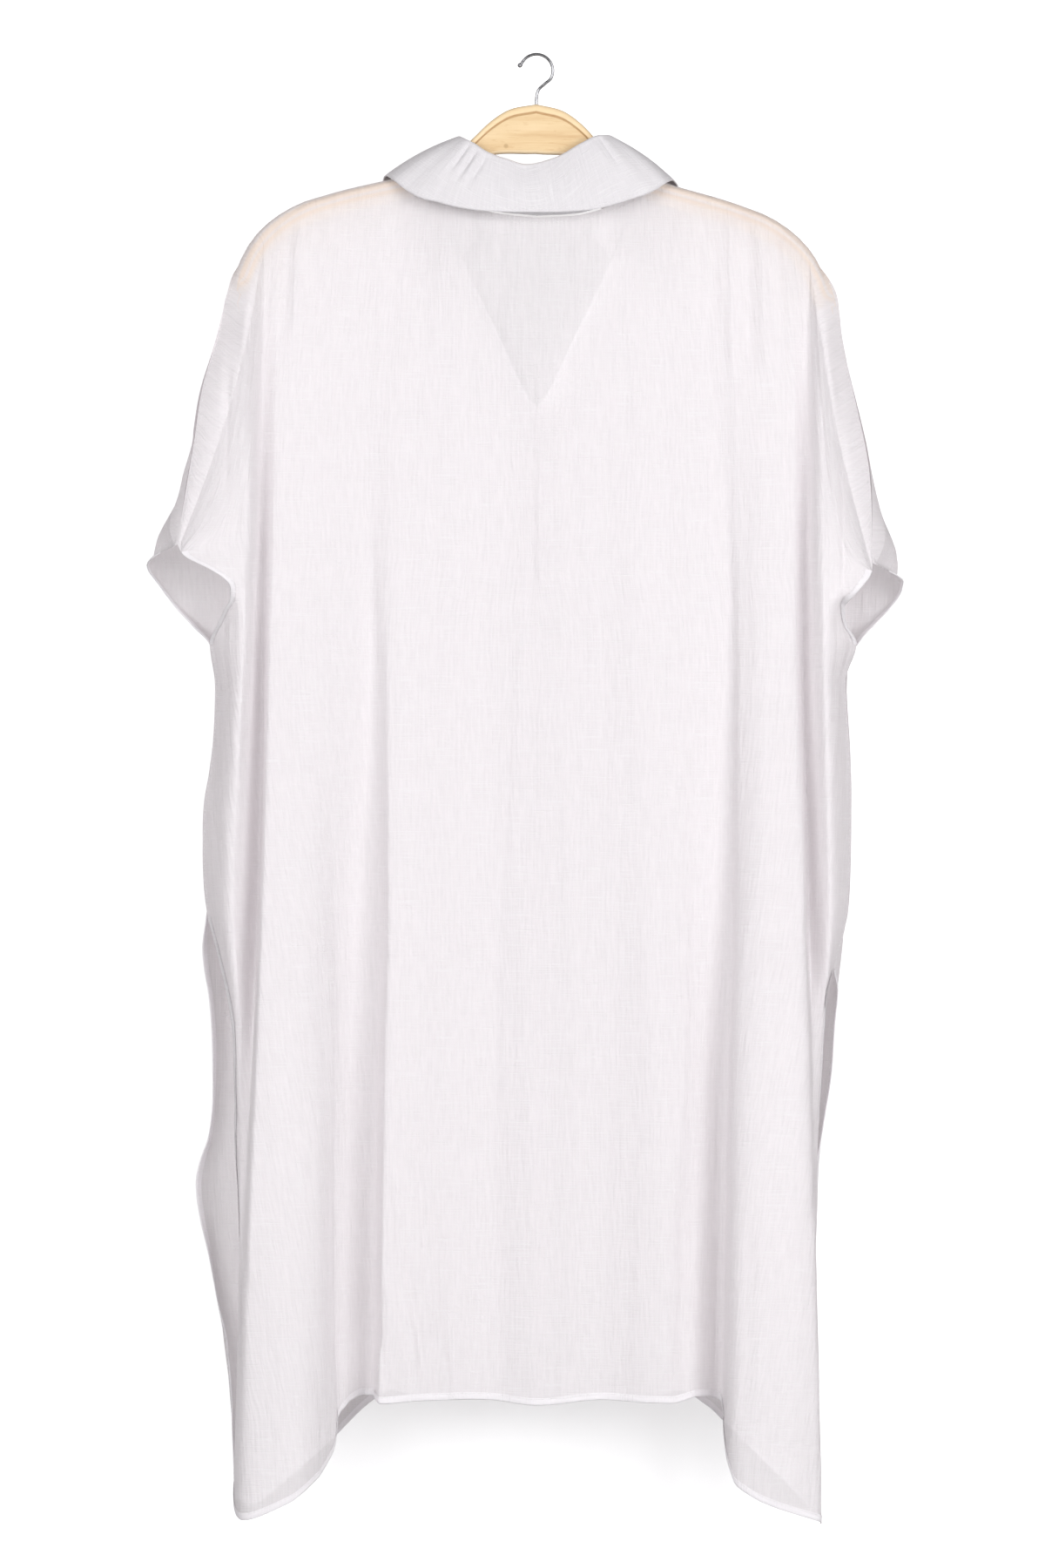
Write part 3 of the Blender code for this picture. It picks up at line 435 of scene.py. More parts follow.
# The back's hem drops in a short step from the middle part to each wing: the place across the
# fold lines, and how much lower it is than on a smooth line between their hem heights.
BACK_STEP_LEFT = (
    (0.11, 0), (0.147, -12), (0.17, -16), (0.178, 5), (0.21, 10), (0.255, 6), (0.3, 0),
)
BACK_STEP_RIGHT = ((0.11, 0), (0.174, 20), (0.196, 25), (0.234, 11), (0.255, 4), (0.3, 0))
# The shoulder seam past the hanger's end: distance from the middle, depth, height.
LOOSE_SEAM_LEFT = (
    (228.4, 2, -165), (233.5, 4, -184), (242.4, 8, -216), (252, 13, -249), (257.7, 20, -292),
    (268.2, 28, -366.7),
)
LOOSE_SEAM_RIGHT = (
    (225.5, 2, -178), (228, 3, -201), (234, 5, -231), (241, 7, -262), (249, 12, -303),
    (251.2, 22, -380.4),
)
# The panel's side edge: height below the rail, distance from the middle, depth.
CUFF_BACK_LEFT = (
    (366.7, 268.2, 28), (375.8, 262, 33), (385.6, 243, 37), (392, 233, 37), (398.7, 228, 34),
    (408.5, 229, 27), (415, 233, 18), (424.8, 237.5, 9), (441, 244.7, 0.5),
)
CUFF_BACK_RIGHT = (
    (380.4, 251.2, 22), (388, 250, 26), (398, 243, 29), (406, 236, 26), (414, 231, 14),
    (425, 232, 5), (441, 240, 0.5),
)
SIDE_SEAM_LEFT = ((472, 240.8), (506, 242), (537, 245), (560, 249), (589, 250), (640, 247))
SIDE_SEAM_RIGHT = ((468, 232), (523, 235), (558, 236), (621, 235), (645, 233), (683, 223))
SLIT_BACK_LEFT = (
    (670, 239, 4), (705, 231, 8), (733, 227, 9), (770, 226, 6), (805, 226, 0), (840, 224, -7),
    (900, 222, -13), (1000, 221, -14), (1080, 219, -8),
)
SLIT_BACK_RIGHT = (
    (700, 217.5, 4), (725, 215.5, 7), (767, 213, 8), (806, 210, 6), (840, 206, 0),
    (900, 204, -8), (1000, 203, -10), (1090, 204, -6),
)
EDGE_HEM = {"back_left": 1078, "back_right": 1091, "front_left": 1077, "front_right": 1090}
NECK_BACK = (
    (-1.0, 0, 13, -122), (-0.6, 36, 12.6, -118), (-0.3, 62, 11, -108.5), (-0.1, 80, 8.8, -98),
    (-0.045, 84.5, 6.8, -91.3), (0.0, 88, 0, -87.4),
)
# The cloth's gap from the wood, as (distance from the middle, gap), and the stretch of the wood
# that the seam follows: from how far out, and down to which height below the rail.
CLOTH_LIFT = ((90, 1.75), (105, 0.95), (160, 0.95), (175, 1.6), (205, 2.6))
SEAM_ON_WOOD = (92, 150)
# The underarm's height below the rail. Then, down from the top edge: where the cuff starts, how
# far the cloth rounds over at the sleeve's end and past the hanger, and how far the neck pulls.
UNDERARM = 441
CUFF_TOP = 6
NOTCH_CAP = 5.4
LOOSE_CAP = 160
LOOSE_FROM = 0.5
NECK_EASE = 160
HEM_WIDTH = 5 * MM
HEM_LIFT = 0.45 * MM
# The faint ripple: how many marks, and the least and most of each one's place, size and lean. On
# the wings, from WING_FROM across and down, they are short and lean more.
RIPPLES = 260
RIPPLE_ACROSS = (0, 0.34)
RIPPLE_TOP = (0.1, 1.05)
RIPPLE_LENGTH = (0.05, 0.2)
RIPPLE_LEAN = (-0.06, 0.06)
RIPPLE_HALF_WIDTH = (2.4, 7)
RIPPLE_DEPTH = (-0.6, 0.6)
WING_FROM = (0.19, 0.65)
WING_LEAN = 0.26
# The points of a half panel's grid: across the fold lines, and down its four zones.
FINE_COLUMNS = np.concatenate([
    np.linspace(-1, -0.1, 50), np.linspace(-0.1, 0, 9)[1:], np.linspace(0, 0.3, 52)[1:],
    np.linspace(0.3, 0.5, 44)[1:], np.linspace(0.5, 1, 38)[1:],
])
FINE_CAP = np.linspace(0, 1, 9)
FINE_UPPER = np.linspace(0, 1, 56)[1:]
FINE_CUFF = np.linspace(0, 1, 30)[1:]
FINE_LOWER = np.linspace(0, 1, 126)[1:]
NOTCH_ROW = len(FINE_CAP) + len(FINE_UPPER) - 1
UNDERARM_ROW = NOTCH_ROW + len(FINE_CUFF)
SLIT_TOP = {"left": 640 * MM, "right": 683 * MM}
SIDE_COLUMNS = 16
SHOULDER_COLUMNS = 120
NECK_COLUMNS = 51
# How far in from the edge or the seam the stitches run.
HEM_STITCHING = 4.2 * MM
SEAM_STITCHING = 2.5 * MM
NECK_STITCHING = 4.0 * MM
# Creases that the hanging and the wearing have set in the cloth: where each starts and ends, as
# (distance from the middle, height below the rail), then its half width and its depth, in for
# minus.
BACK_CREASES_LEFT = (
    (138, 520, 140, 1010, 17, -5.0), (121, 350, 125, 1010, 10, -1.6),
    (92, 800, 72, 1006, 3, -1.6), (108, 820, 88, 1006, 3, 1.5), (84, 880, 64, 1006, 3.5, 1.3),
    (103, 886, 78, 1006, 4, -2.0), (115, 905, 95, 1006, 4, 1.6), (124, 925, 108, 1006, 3.5, -1.5),
    (96, 850, 70, 1006, 6, 1.0), (10, 620, 4, 1010, 11, 1.4), (28, 760, 26, 1008, 8, -0.9),
    (186, 128, 190, 215, 4.5, -2.0), (176, 118, 180, 205, 4, 1.5), (164, 108, 166, 190, 5, -1.0),
    (230, 165, 232, 320, 2.6, -2.2), (216, 160, 220, 330, 4.5, 1.8), (196, 700, 190, 1040, 6, 1.2),
    (162, 760, 158, 1010, 7, 1.2), (150, 800, 146, 1008, 5, -1.0), (60, 300, 62, 620, 12, 0.7),
)
BACK_CREASES_RIGHT = (
    (124, 420, 120, 1006, 16, -4.0), (141, 380, 136, 1006, 10, -1.4),
    (145, 105, 147, 235, 3.5, 2.0), (156, 106, 160, 222, 4, -1.8), (167, 108, 172, 236, 3.8, 2.2),
    (178, 112, 186, 240, 4, -1.6), (132, 98, 134, 190, 5, -0.9), (229, 284, 230, 426, 2.6, -2.0),
    (218, 180, 222, 340, 4.5, 1.5), (112, 820, 106, 1006, 6, -1.4), (122, 880, 119, 1006, 5, 1.3),
    (160, 860, 156, 1020, 5, -1.2), (190, 720, 186, 1060, 7, 1.0), (12, 700, 9, 1010, 9, -1.0),
    (70, 320, 72, 640, 12, 0.7),
)


def shoulder_seam(side, neck_end, loose):
    """(shares, points) of the shoulder seam, from the neck over the wood and down the sleeve."""
    wood = tilted(smooth_path(PLATE_TOP, 60) * MM * (side, 1))
    nearest, lowest = np.array(SEAM_ON_WOOD) * MM
    wood = wood[(np.abs(wood[:, 0]) > nearest) & (wood[:, 1] > -lowest)]
    on_wood = np.stack([wood[:, 0], np.zeros(len(wood)), wood[:, 1]], axis=1)
    free = np.array(loose) * MM * (side, 1, 1)
    points = smooth_path(np.concatenate([[neck_end], on_wood, free]), 400)
    shares = travelled(points)
    return shares / shares[-1], points


def neckline(table, side, columns):
    """Points of one half of the neckline, tilted with the hanger."""
    rows = np.array(table, float)
    points = rows[:, 1:] * MM * (side, 1, 1)
    points[:, 2] += points[:, 0] * math.tan(PLATE_TILT)
    return through(rows[:, 0], points, columns)


def side_edge(cuff, seam, slit):
    """(height, distance, depth) rows of a panel's whole side edge."""
    sewn = [(height, across, 0) for height, across in seam]
    return np.array(list(cuff) + sewn + list(slit), float)


def unit(vectors):
    return vectors / np.linalg.norm(vectors, axis=-1, keepdims=True)


def clear_of_wood(points):
    """The points, each pushed straight out of the hanger's rounded plate to the cloth's lift."""
    start = plate_outline()
    step = np.roll(start, -1, axis=0) - start
    flat = points.reshape(-1, 3).copy()
    near = flat[:, 2] > start[:, 1].min() - 8 * MM
    flat, kept = flat[near], flat
    from_start = flat[:, None, ::2] - start
    share = np.clip(np.sum(from_start * step, axis=2) / np.sum(step * step, axis=1), 0, 1)
    offsets = from_start - share[..., None] * step
    nearest = np.argmin(np.linalg.norm(offsets, axis=2), axis=1)
    offset = offsets[np.arange(len(flat)), nearest]
    above = start[:, 1] > flat[:, 2:]
    crosses = above != np.roll(above, -1, axis=1)
    slope = step[:, 0] / np.where(step[:, 1] == 0, 1, step[:, 1])
    right_of = from_start[..., 0] < from_start[..., 1] * slope
    inside = np.sum(crosses & right_of, axis=1) % 2 == 1
    outward = unit(offset + 1e-12) * np.where(inside, -1, 1)[:, None]
    edge = np.sum(offset * outward, axis=1) + PLATE_EDGE_ROUND
    face = np.abs(flat[:, 1]) - PLATE_THICKNESS / 2 + PLATE_EDGE_ROUND
    at_corner = (edge > 0) & (face > 0)
    reach = np.where(at_corner, np.hypot(edge, face), np.maximum(edge, face))
    lift = np.interp(np.abs(flat[:, 0]), *np.transpose(CLOTH_LIFT) * MM)
    need = np.maximum(lift + PLATE_EDGE_ROUND - reach, 0)
    over_edge = np.where(at_corner, edge / reach, edge > face) * need
    over_face = np.where(at_corner, face / reach, edge <= face) * need
    flat[:, ::2] += outward * over_edge[:, None]
    flat[:, 1] += np.where(flat[:, 1] < 0, -1, 1) * over_face
    kept[near] = flat
    return kept.reshape(points.shape)


def fold_lines(table, depth_sign, edge, edge_hem, roll=None):
    """Fold lines as dictionaries: start, cap, hem, and rows of (height, distance, depth)."""
    lines = []
    for _, start, cap, hem, across, depth in table:
        columns = np.broadcast_arrays(HEIGHTS, across, depth_sign * np.array(depth))
        rows = np.stack(columns, axis=1)
        lines.append({"start": start, "cap": cap, "hem": hem, "rows": rows})
    if roll is not None:
        lines.append({"start": 0.77, "cap": 30, "hem": 1081, "rows": np.array(roll, float)})
    lines.append({"start": 1.0, "cap": NOTCH_CAP, "hem": edge_hem, "rows": edge})
    return lines


def section_points(lines, places, heights):
    """Distance and depth on the sections at `heights`, at `places` across the fold lines."""
    stack = []
    for line in lines:
        rows = line["rows"]
        stack.append(through(rows[:, 0], rows[:, 1:], heights, level=True))
    stack = np.stack(stack)
    reach = np.linalg.norm(np.diff(stack, axis=0), axis=-1).mean(axis=(1, 2))
    knots = np.concatenate([[0], np.cumsum(reach)])
    at = np.interp(places, [line["start"] for line in lines], knots)
    result = np.empty(heights.shape + (2,))
    for column in range(heights.shape[1]):
        here = at[column : column + 1]
        result[:, column] = through(knots, stack[:, :, column], here, level=True)[0]
    return result


def panel_grid(lines, neck, loose_seam, side, step=((0, 0), (1, 0))):
    """Points (rows, columns, 3) of one half panel's surface."""
    columns = FINE_COLUMNS
    starts = [line["start"] for line in lines]
    on_neck = neckline(neck, side, np.minimum(columns, 0))
    shares, points = shoulder_seam(side, on_neck[-1], loose_seam)
    on_seam = through(shares, points, np.maximum(columns, 0))
    top = np.where(columns[:, None] < 0, on_neck, on_seam) * (side, 1, 1)
    hems = through(starts, [line["hem"] for line in lines], columns)
    hems = hems + np.interp(columns, *zip(*step))
    caps = np.interp(columns, starts, [line["cap"] for line in lines])
    loose = (columns > LOOSE_FROM) & (columns < 1)
    caps[loose] += LOOSE_CAP * (columns[loose] - LOOSE_FROM) * (1 - columns[loose])
    top_height = -top[:, 2] / MM
    notch = top_height[-1]
    crowding = np.where(columns < 0, 1, 2)
    parts = [top_height + caps * FINE_CAP[:, None] ** crowding]
    for bottom, shares in (
        (np.full(len(columns), notch + CUFF_TOP), FINE_UPPER),
        (np.full(len(columns), UNDERARM), FINE_CUFF),
        (hems, FINE_LOWER),
    ):
        start = parts[-1][-1]
        parts.append(start + (bottom - start) * shares[:, None])
    heights = np.concatenate(parts)
    flat = section_points(lines, columns, heights)
    at_top = section_points(lines, columns, top_height[None, :])[0]
    below = heights - top_height
    rounding = (1 - np.sqrt(np.clip(below / caps, 0, 1))) ** 2
    easing = (1 - np.clip(below / NECK_EASE, 0, 1)) ** 2
    shift = top[:, :2] / MM - at_top
    flat[..., 0] += np.where(columns < 0, easing, rounding) * shift[:, 0]
    flat[..., 1] += rounding * shift[:, 1]
    grid = np.empty(heights.shape + (3,))
    grid[..., 0] = flat[..., 0] * side * MM
    grid[..., 1] = flat[..., 1] * MM
    grid[..., 2] = -heights * MM
    return clear_of_wood(grid)


def mark_wood(panel, grid):
    """Note on the panel's mesh how far below the plate's top edge each of its points lies."""
    points = grid.reshape(-1, 3)
    edge = tilted(smooth_path(PLATE_TOP, 90) * MM)
    edge = np.concatenate([(edge * (-1, 1))[:0:-1], edge])
    edge[:, 1] += np.where(edge[:, 0] < 0, 2 * edge[:, 0] * math.tan(PLATE_TILT), 0)
    away = np.full(len(points), -1.0)
    near = points[:, 2] > edge[:, 1].min() - 20 * MM
    gaps = points[near][:, None, ::2] - edge
    below = points[near][:, 2] < np.interp(points[near][:, 0], edge[:, 0], edge[:, 1])
    within = np.abs(points[near][:, 0]) < edge[-1, 0]
    distance = np.linalg.norm(gaps, axis=2).min(axis=1)
    away[near] = np.where(below & within, distance, -distance)
    note_on(panel, "below_wood_edge", away)


def outward_normals(grid, facing):
    """Unit normals of a grid of points, turned so that they mostly face +Y or -Y."""
    across = np.gradient(grid, axis=1)
    down = np.gradient(grid, axis=0)
    normal = unit(np.cross(across, down) + 1e-12)
    return normal if normal[..., 1].mean() * facing > 0 else -normal


def along_cloth(grid):
    """Distance along the cloth from the grid's first column, and height below the rail."""
    return travelled(grid, axis=1) + np.abs(grid[:, :1, 0]), -grid[..., 2]


def creased(grid, facing, creases, seed):
    """The grid with its set creases, and with the faint uneven ripple of cloth that hangs."""
    across, height = along_cloth(grid)
    relief = np.zeros(across.shape)
    for from_across, from_height, to_across, to_height, half_width, depth in creases:
        share = (height / MM - from_height) / (to_height - from_height)
        middle = from_across + (to_across - from_across) * np.clip(share, 0, 1)
        fade = np.clip((share + 0.12) / 0.3, 0, 1) * np.clip((1.25 - share) / 0.35, 0, 1)
        away = (np.abs(grid[..., 0]) / MM - middle) / half_width
        relief += depth * fade * fade * np.exp(-away * away)
    chance = np.random.default_rng(seed)
    for _ in range(RIPPLES):
        middle = chance.uniform(*RIPPLE_ACROSS)
        top = chance.uniform(*RIPPLE_TOP)
        length = chance.uniform(*RIPPLE_LENGTH)
        lean = chance.uniform(*RIPPLE_LEAN)
        if middle > WING_FROM[0] and top > WING_FROM[1]:
            lean -= WING_LEAN
            length /= 2
        half_width = chance.uniform(*RIPPLE_HALF_WIDTH) * MM
        depth = chance.uniform(*RIPPLE_DEPTH) * min(1, half_width / (5 * MM))
        away = (across - middle - lean * (height - top)) / half_width
        fall = (height - top) / length
        relief += depth * np.exp(-away * away - fall * fall)
    clear = np.clip((height - height[:1]) / (14 * MM), 0, 1)
    return grid + outward_normals(grid, facing) * (relief * clear * MM)[..., None]


def crinkle_group():
    """Crinkled, slubbed weave. Place is the spot on the flat cloth, in metres."""
    tree = bpy.data.node_groups.new("Crinkled weave", "ShaderNodeTree")
    for name, kind in (("Place", "NodeSocketVector"), ("Crinkle", "NodeSocketFloat"),
                       ("Slub", "NodeSocketFloat"), ("Weave", "NodeSocketFloat")):
        tree.interface.new_socket(name=name, in_out="INPUT", socket_type=kind)
    for name in ("Height", "Slub mask", "Ridge mask"):
        tree.interface.new_socket(name=name, in_out="OUTPUT", socket_type="NodeSocketFloat")
    given = tree.nodes.new("NodeGroupInput")
    result = tree.nodes.new("NodeGroupOutput")

    def streaks(across, along, detail, low, high):
        """Noise drawn out over those lengths, in metres, and cut to a mask."""
        scaled = stretched(tree, given.outputs["Place"], (1 / across, 1 / along, 1))
        made = add_node(
            tree, "ShaderNodeTexNoise", {"Vector": scaled, "Scale": 1.0, "Detail": detail},
            noise_dimensions="2D",
        )
        return band(tree, made.outputs["Fac"], low, high)

    fine = streaks(0.0019, 0.020, 1.0, 0.25, 0.75)
    broad = streaks(0.0064, 0.075, 0.0, 0.3, 0.7)
    weft = streaks(0.028, 0.0009, 0.0, 0.57, 0.88)
    warp = streaks(0.0010, 0.045, 0.0, 0.70, 0.96)
    threads = streaks(0.010, 0.0009, 0.0, 0.2, 0.8)
    slubs = maths(tree, weft, warp, "MAXIMUM")
    ridge = maths(
        tree, maths(tree, fine, 0.7, "MULTIPLY"), maths(tree, broad, 0.5, "MULTIPLY"))
    height, slubbed, woven = (
        maths(tree, mask, given.outputs[name], "MULTIPLY")
        for mask, name in ((ridge, "Crinkle"), (slubs, "Slub"), (threads, "Weave"))
    )
    height = maths(tree, height, maths(tree, slubbed, woven))
    tree.links.new(height, result.inputs["Height"])
    tree.links.new(slubs, result.inputs["Slub mask"])
    tree.links.new(fine, result.inputs["Ridge mask"])
    return tree


CRINKLE = crinkle_group()


# How the wood tints the cloth over it: the tint, and the distances in mm below the wood's top
# edge between which the tint's strength rises or falls, for its rim, its groove and its face.
WOOD_SHOWS = (0.99, 0.85, 0.74)
WOOD_LINES = ((0.3, 1.6, 0.6), (4.2, 5.2, -0.5), (6.4, 7.4, 0.45), (8.4, 11.5, -0.55))
SLUB_HEIGHT = 0.35
WEAVE_HEIGHT = 0.3


def over_wood(tree, slubbed_with_crinkle_shade):
    """The cloth's colour, with the wood's rim and groove showing through along the arms."""
    below = add_node(tree, "ShaderNodeAttribute", attribute_name="below_wood_edge").outputs["Fac"]
    strength = 0.0
    for nearest, furthest, step in WOOD_LINES:
        change = band(tree, below, nearest * MM, furthest * MM, step)
        strength = maths(tree, strength, change)
    return blend(tree, strength, slubbed_with_crinkle_shade, WOOD_SHOWS)


def two_shaders(tree, share, first, second):
    """The material's surface: two shaders mixed by a share."""
    mixed = add_node(tree, "ShaderNodeMixShader", {
        0: share, 1: first.outputs["BSDF"], 2: second.outputs["BSDF"],
    })
    tree.links.new(mixed.outputs["Shader"], tree.nodes["Material Output"].inputs["Surface"])


def cloth_finish(name, colour, slub_colour, crinkle, see_through, glow):
    """The shirt's cloth: its crinkle and slubs in relief, painted shade in the crinkle's hollows
    and a painted highlight on its ridges, and how much shows through it.

    `see_through` is the share of what lies behind that shows between the threads, and `glow` the
    share of the light on the cloth's far side that it lets through, spread out.
    """
    made, tree, shader = new_finish(name, colour, 0.86, {
        "Alpha": 1 - see_through, "Sheen Weight": 0.1, "Sheen Roughness": 0.5,
        "Specular IOR Level": 0.2,
    })
    place = add_node(tree, "ShaderNodeUVMap", uv_map="cloth").outputs["UV"]
    weave = add_node(tree, "ShaderNodeGroup", node_tree=CRINKLE)
    tree.links.new(place, weave.inputs["Place"])
    for part, height in (("Crinkle", crinkle), ("Slub", SLUB_HEIGHT), ("Weave", WEAVE_HEIGHT)):
        weave.inputs[part].default_value = height
    # Painted shade and highlight: the colour is darker in the crinkle's hollows and lighter on its
    # ridges. The slubs' lighter colour is their own.
    hollow, ridge = (tuple(min(1, share * c) for c in colour) for share in (0.97, 1.02))
    slubbed_with_crinkle_shade = blend(tree, weave.outputs["Ridge mask"], hollow, ridge)
    slubbed_with_crinkle_shade = blend(tree, weave.outputs["Slub mask"], slubbed_with_crinkle_shade, slub_colour)
    shown = over_wood(tree, slubbed_with_crinkle_shade) if see_through else slubbed_with_crinkle_shade
    tree.links.new(shown, shader.inputs["Base Color"])
    normal = raised(tree, shader, weave.outputs["Height"], 0.6, 0.6 * MM)
    glowing = add_node(tree, "ShaderNodeBsdfTranslucent", {"Color": slubbed_with_crinkle_shade, "Normal": normal})
    two_shaders(tree, glow, shader, glowing)
    return made


CLOTH = cloth_finish(
    "crinkled white cloth", (0.968, 0.932, 0.945), (0.985, 0.96, 0.97), 1.0, 0.2, 0.18)
HEM_CLOTH = cloth_finish(
    "turned hem of the cloth", (0.93, 0.90, 0.92), (0.97, 0.95, 0.96), 0.6, 0, 0.1)


def thread_finish():
    """White sewing thread, with the twist of its plies."""
    made, tree, shader = new_finish("white sewing thread", (0.95, 0.94, 0.94), 0.6)
    twist = add_node(
        tree, "ShaderNodeTexWave", {"Vector": object_place(tree), "Scale": 900.0},
        bands_direction="DIAGONAL",
    ).outputs["Fac"]
    spun = colour_steps(tree, twist, ((0.2, (0.86, 0.85, 0.85)), (0.8, (0.97, 0.96, 0.96))))
    tree.links.new(spun, shader.inputs["Base Color"])
    return made


THREAD = thread_finish()


def inward(lines, distances):
    """Points at those distances along each line, which starts on the cloth's edge."""
    made = np.empty((len(lines), len(distances), 3))
    for number, (line, here) in enumerate(zip(lines, travelled(lines, axis=1))):
        for axis in range(3):
            made[number, :, axis] = np.interp(distances, here, line[:, axis])
    return made


def turned_hem(name, lines, width=HEM_WIDTH):
    """A narrow hem turned over the cloth's edge: the lines run inward from that edge."""
    across = inward(lines, np.linspace(0, width, 4))
    normal = outward_normals(across, 1)
    inner = unit(across[:, 0] - across[:, 1])
    over = [across[:, k] + normal[:, k] * HEM_LIFT for k in (3, 2, 1, 0)]
    edge = across[:, 0] + inner * HEM_LIFT
    under = [across[:, k] - normal[:, k] * HEM_LIFT for k in (0, 1, 2, 3)]
    grid = np.stack(over + [edge] + under, axis=1)
    along = travelled(edge)[:, None]
    places = np.stack(np.broadcast_arrays(np.linspace(0, 2 * width, 9), along), axis=-1)
    made = grid_mesh(name, grid, HEM_CLOTH, places)
    return made


def stitch_path(lines, distance, facing, lift=0.75 * MM):
    """The path of a row of stitches, at that distance in from the cloth's edge."""
    across = inward(lines, [distance - 0.6 * MM, distance, distance + 0.6 * MM])
    normal = outward_normals(across, facing)
    return across[:, 1] + normal[:, 1] * lift, normal[:, 1]


def stitches(name, paths, length=2.3 * MM, pitch=3.1 * MM, radius=0.2 * MM):
    """Rows of machine stitches, each a short thread that dips into the cloth at both ends."""
    points, faces = [], []
    for path, normal in paths:
        reach = travelled(path)
        for start in np.arange(pitch, reach[-1] - pitch, pitch):
            at = (start, start + length / 2, start + length)
            ends = np.array([[np.interp(s, reach, path[:, k]) for k in range(3)] for s in at])
            up = np.array([np.interp(at[1], reach, normal[:, k]) for k in range(3)])
            side = np.cross(ends[2] - ends[0], up)
            side = side / np.linalg.norm(side)
            base = len(points)
            points += [ends[0] - up * radius, ends[2] - up * radius]
            points += [ends[1] + up * radius, ends[1] + side * radius]
            points += [ends[1] - up * radius, ends[1] - side * radius]
            for a, b in ((2, 3), (3, 4), (4, 5), (5, 2)):
                faces += [(base, base + a, base + b), (base + 1, base + b, base + a)]
    made = smooth_mesh(name, [tuple(p) for p in points], faces, THREAD)
    return made


def places_on(grid):
    """The spot of each point on the flat cloth: across from the middle, and down."""
    across, height = along_cloth(grid)
    return np.stack([across * np.sign(grid[:1, -1:, 0] + 1e-9), height], axis=-1)


def mirrored(line):
    """A fold line of the other half, as this half's own line past the middle."""
    return {**line, "start": -2 - line["start"], "rows": line["rows"] * (1, -1, 1)}


def side_strips(cloth, word):
    """The cuff, side seam and slit of one half, as lines that run inward from its side edge."""
    sides = cloth[:, ::-1][:, :SIDE_COLUMNS]
    slit_row = int(np.argmax(-cloth[:, -1, 2] > SLIT_TOP[word]))
    cuff = sides[NOTCH_ROW - 3 : UNDERARM_ROW + 1]
    return cuff, sides[UNDERARM_ROW:slit_row], sides[slit_row:]


def back_panel():
    """The back, its hems and stitches. Returns its two halves as they are before the creases."""
    left_edge = side_edge(CUFF_BACK_LEFT, SIDE_SEAM_LEFT, SLIT_BACK_LEFT)
    right_edge = side_edge(CUFF_BACK_RIGHT, SIDE_SEAM_RIGHT, SLIT_BACK_RIGHT)
    left = fold_lines(BACK_LEFT, 1, left_edge, EDGE_HEM["back_left"])
    right = fold_lines(BACK_RIGHT, 1, right_edge, EDGE_HEM["back_right"])
    left, right = [mirrored(right[1])] + left, [mirrored(left[1])] + right
    left = panel_grid(left, NECK_BACK, LOOSE_SEAM_LEFT, 1, BACK_STEP_LEFT)
    right = panel_grid(right, NECK_BACK, LOOSE_SEAM_RIGHT, -1, BACK_STEP_RIGHT)
    plain = {"back_left": left, "back_right": right}
    left_cloth = creased(left, 1, BACK_CREASES_LEFT, 11)
    right_cloth = creased(right, 1, BACK_CREASES_RIGHT, 12)
    left_cloth[:, 0] = right_cloth[:, 0] = (left_cloth[:, 0] + right_cloth[:, 0]) / 2
    whole = np.concatenate([right_cloth[:, :0:-1], left_cloth], axis=1)
    places = np.concatenate([places_on(right_cloth)[:, :0:-1], places_on(left_cloth)], axis=1)
    made = grid_mesh("back_panel", whole, CLOTH, places)
    mark_wood(made, whole)
    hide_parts("back")
    bottom = whole[::-1].transpose(1, 0, 2)[:, :6]
    on_it = [turned_hem("back_hem", bottom)]
    rows = [stitch_path(bottom, HEM_STITCHING, 1)]
    for word, half in (("left", left_cloth), ("right", right_cloth)):
        cuff, side_seam, slit = side_strips(half, word)
        for place, strip in (("cuff", cuff), ("slit", slit)):
            on_it.append(turned_hem(f"back_{place}_hem_{word}", strip))
            rows.append(stitch_path(strip, HEM_STITCHING, 1))
        shoulder = half.transpose(1, 0, 2)[-SHOULDER_COLUMNS:, :10]
        for strip in (shoulder, side_seam):
            rows.append(stitch_path(strip, SEAM_STITCHING, 1, 0.2 * MM))
    middle = len(FINE_COLUMNS) - 1
    neck = whole.transpose(1, 0, 2)[middle - NECK_COLUMNS : middle + NECK_COLUMNS, :14]
    rows.append(stitch_path(neck, NECK_STITCHING, 1, 0.25 * MM))
    on_it.append(stitches("back_stitches", rows))
    return plain


grids = back_panel()


# The two fronts: panels of the same cloth, each cut in one with the front of its sleeve. Their
# V neck starts under the collar's ends, their middle edges carry the bands, and the wearer's
# right one laps over the left. Their rows read as the back's do, with the depth towards the
# front. Each sleeve's front rolls round to the back, at the given height, distance and depth.
FRONT = (
    ("opening", -1.0, 12, 1006, -13, (13, 17, 20, 22, 27)),
    ("lap", -0.76, 12, 1006, 14, (13, 17, 20, 22, 27)),
    ("plain", -0.6, 12, 1006, 32, (13, 17, 20, 22, 27)),
    ("hollow", -0.3, 12, 1003, 60, (12.5, 14, 15, 16, 17)),
    ("neck_point", 0.0, 5, 1005, (88, 88, 88, 88, 90), (8.6, 20, 26, 29, 34)),
    ("valley", 0.11, 5, 1004, (125, 120, 117, 117, 117), (8.6, 15, 16, 17, 18)),
    ("wing_ridge", 0.215, 5, 1050, (163, 162, 162, 163, 166), (8.6, 30, 38, 42, 52)),
)
FRONT_SIDE_LEFT = (
    ("outer_lip", 0.30, 5, 1084, (191, 198, 202, 204, 206), (8.6, 27, 34, 38, 46)),
    ("furrow", 0.35, 6, 1087, (204, 208, 212, 213, 213), (8.6, 13, 14, 22, 38)),
    ("side_ridge", 0.50, 22, 1085, (217, 228, 230, 228, 221), (12, 31, 30, 29, 31)),
)
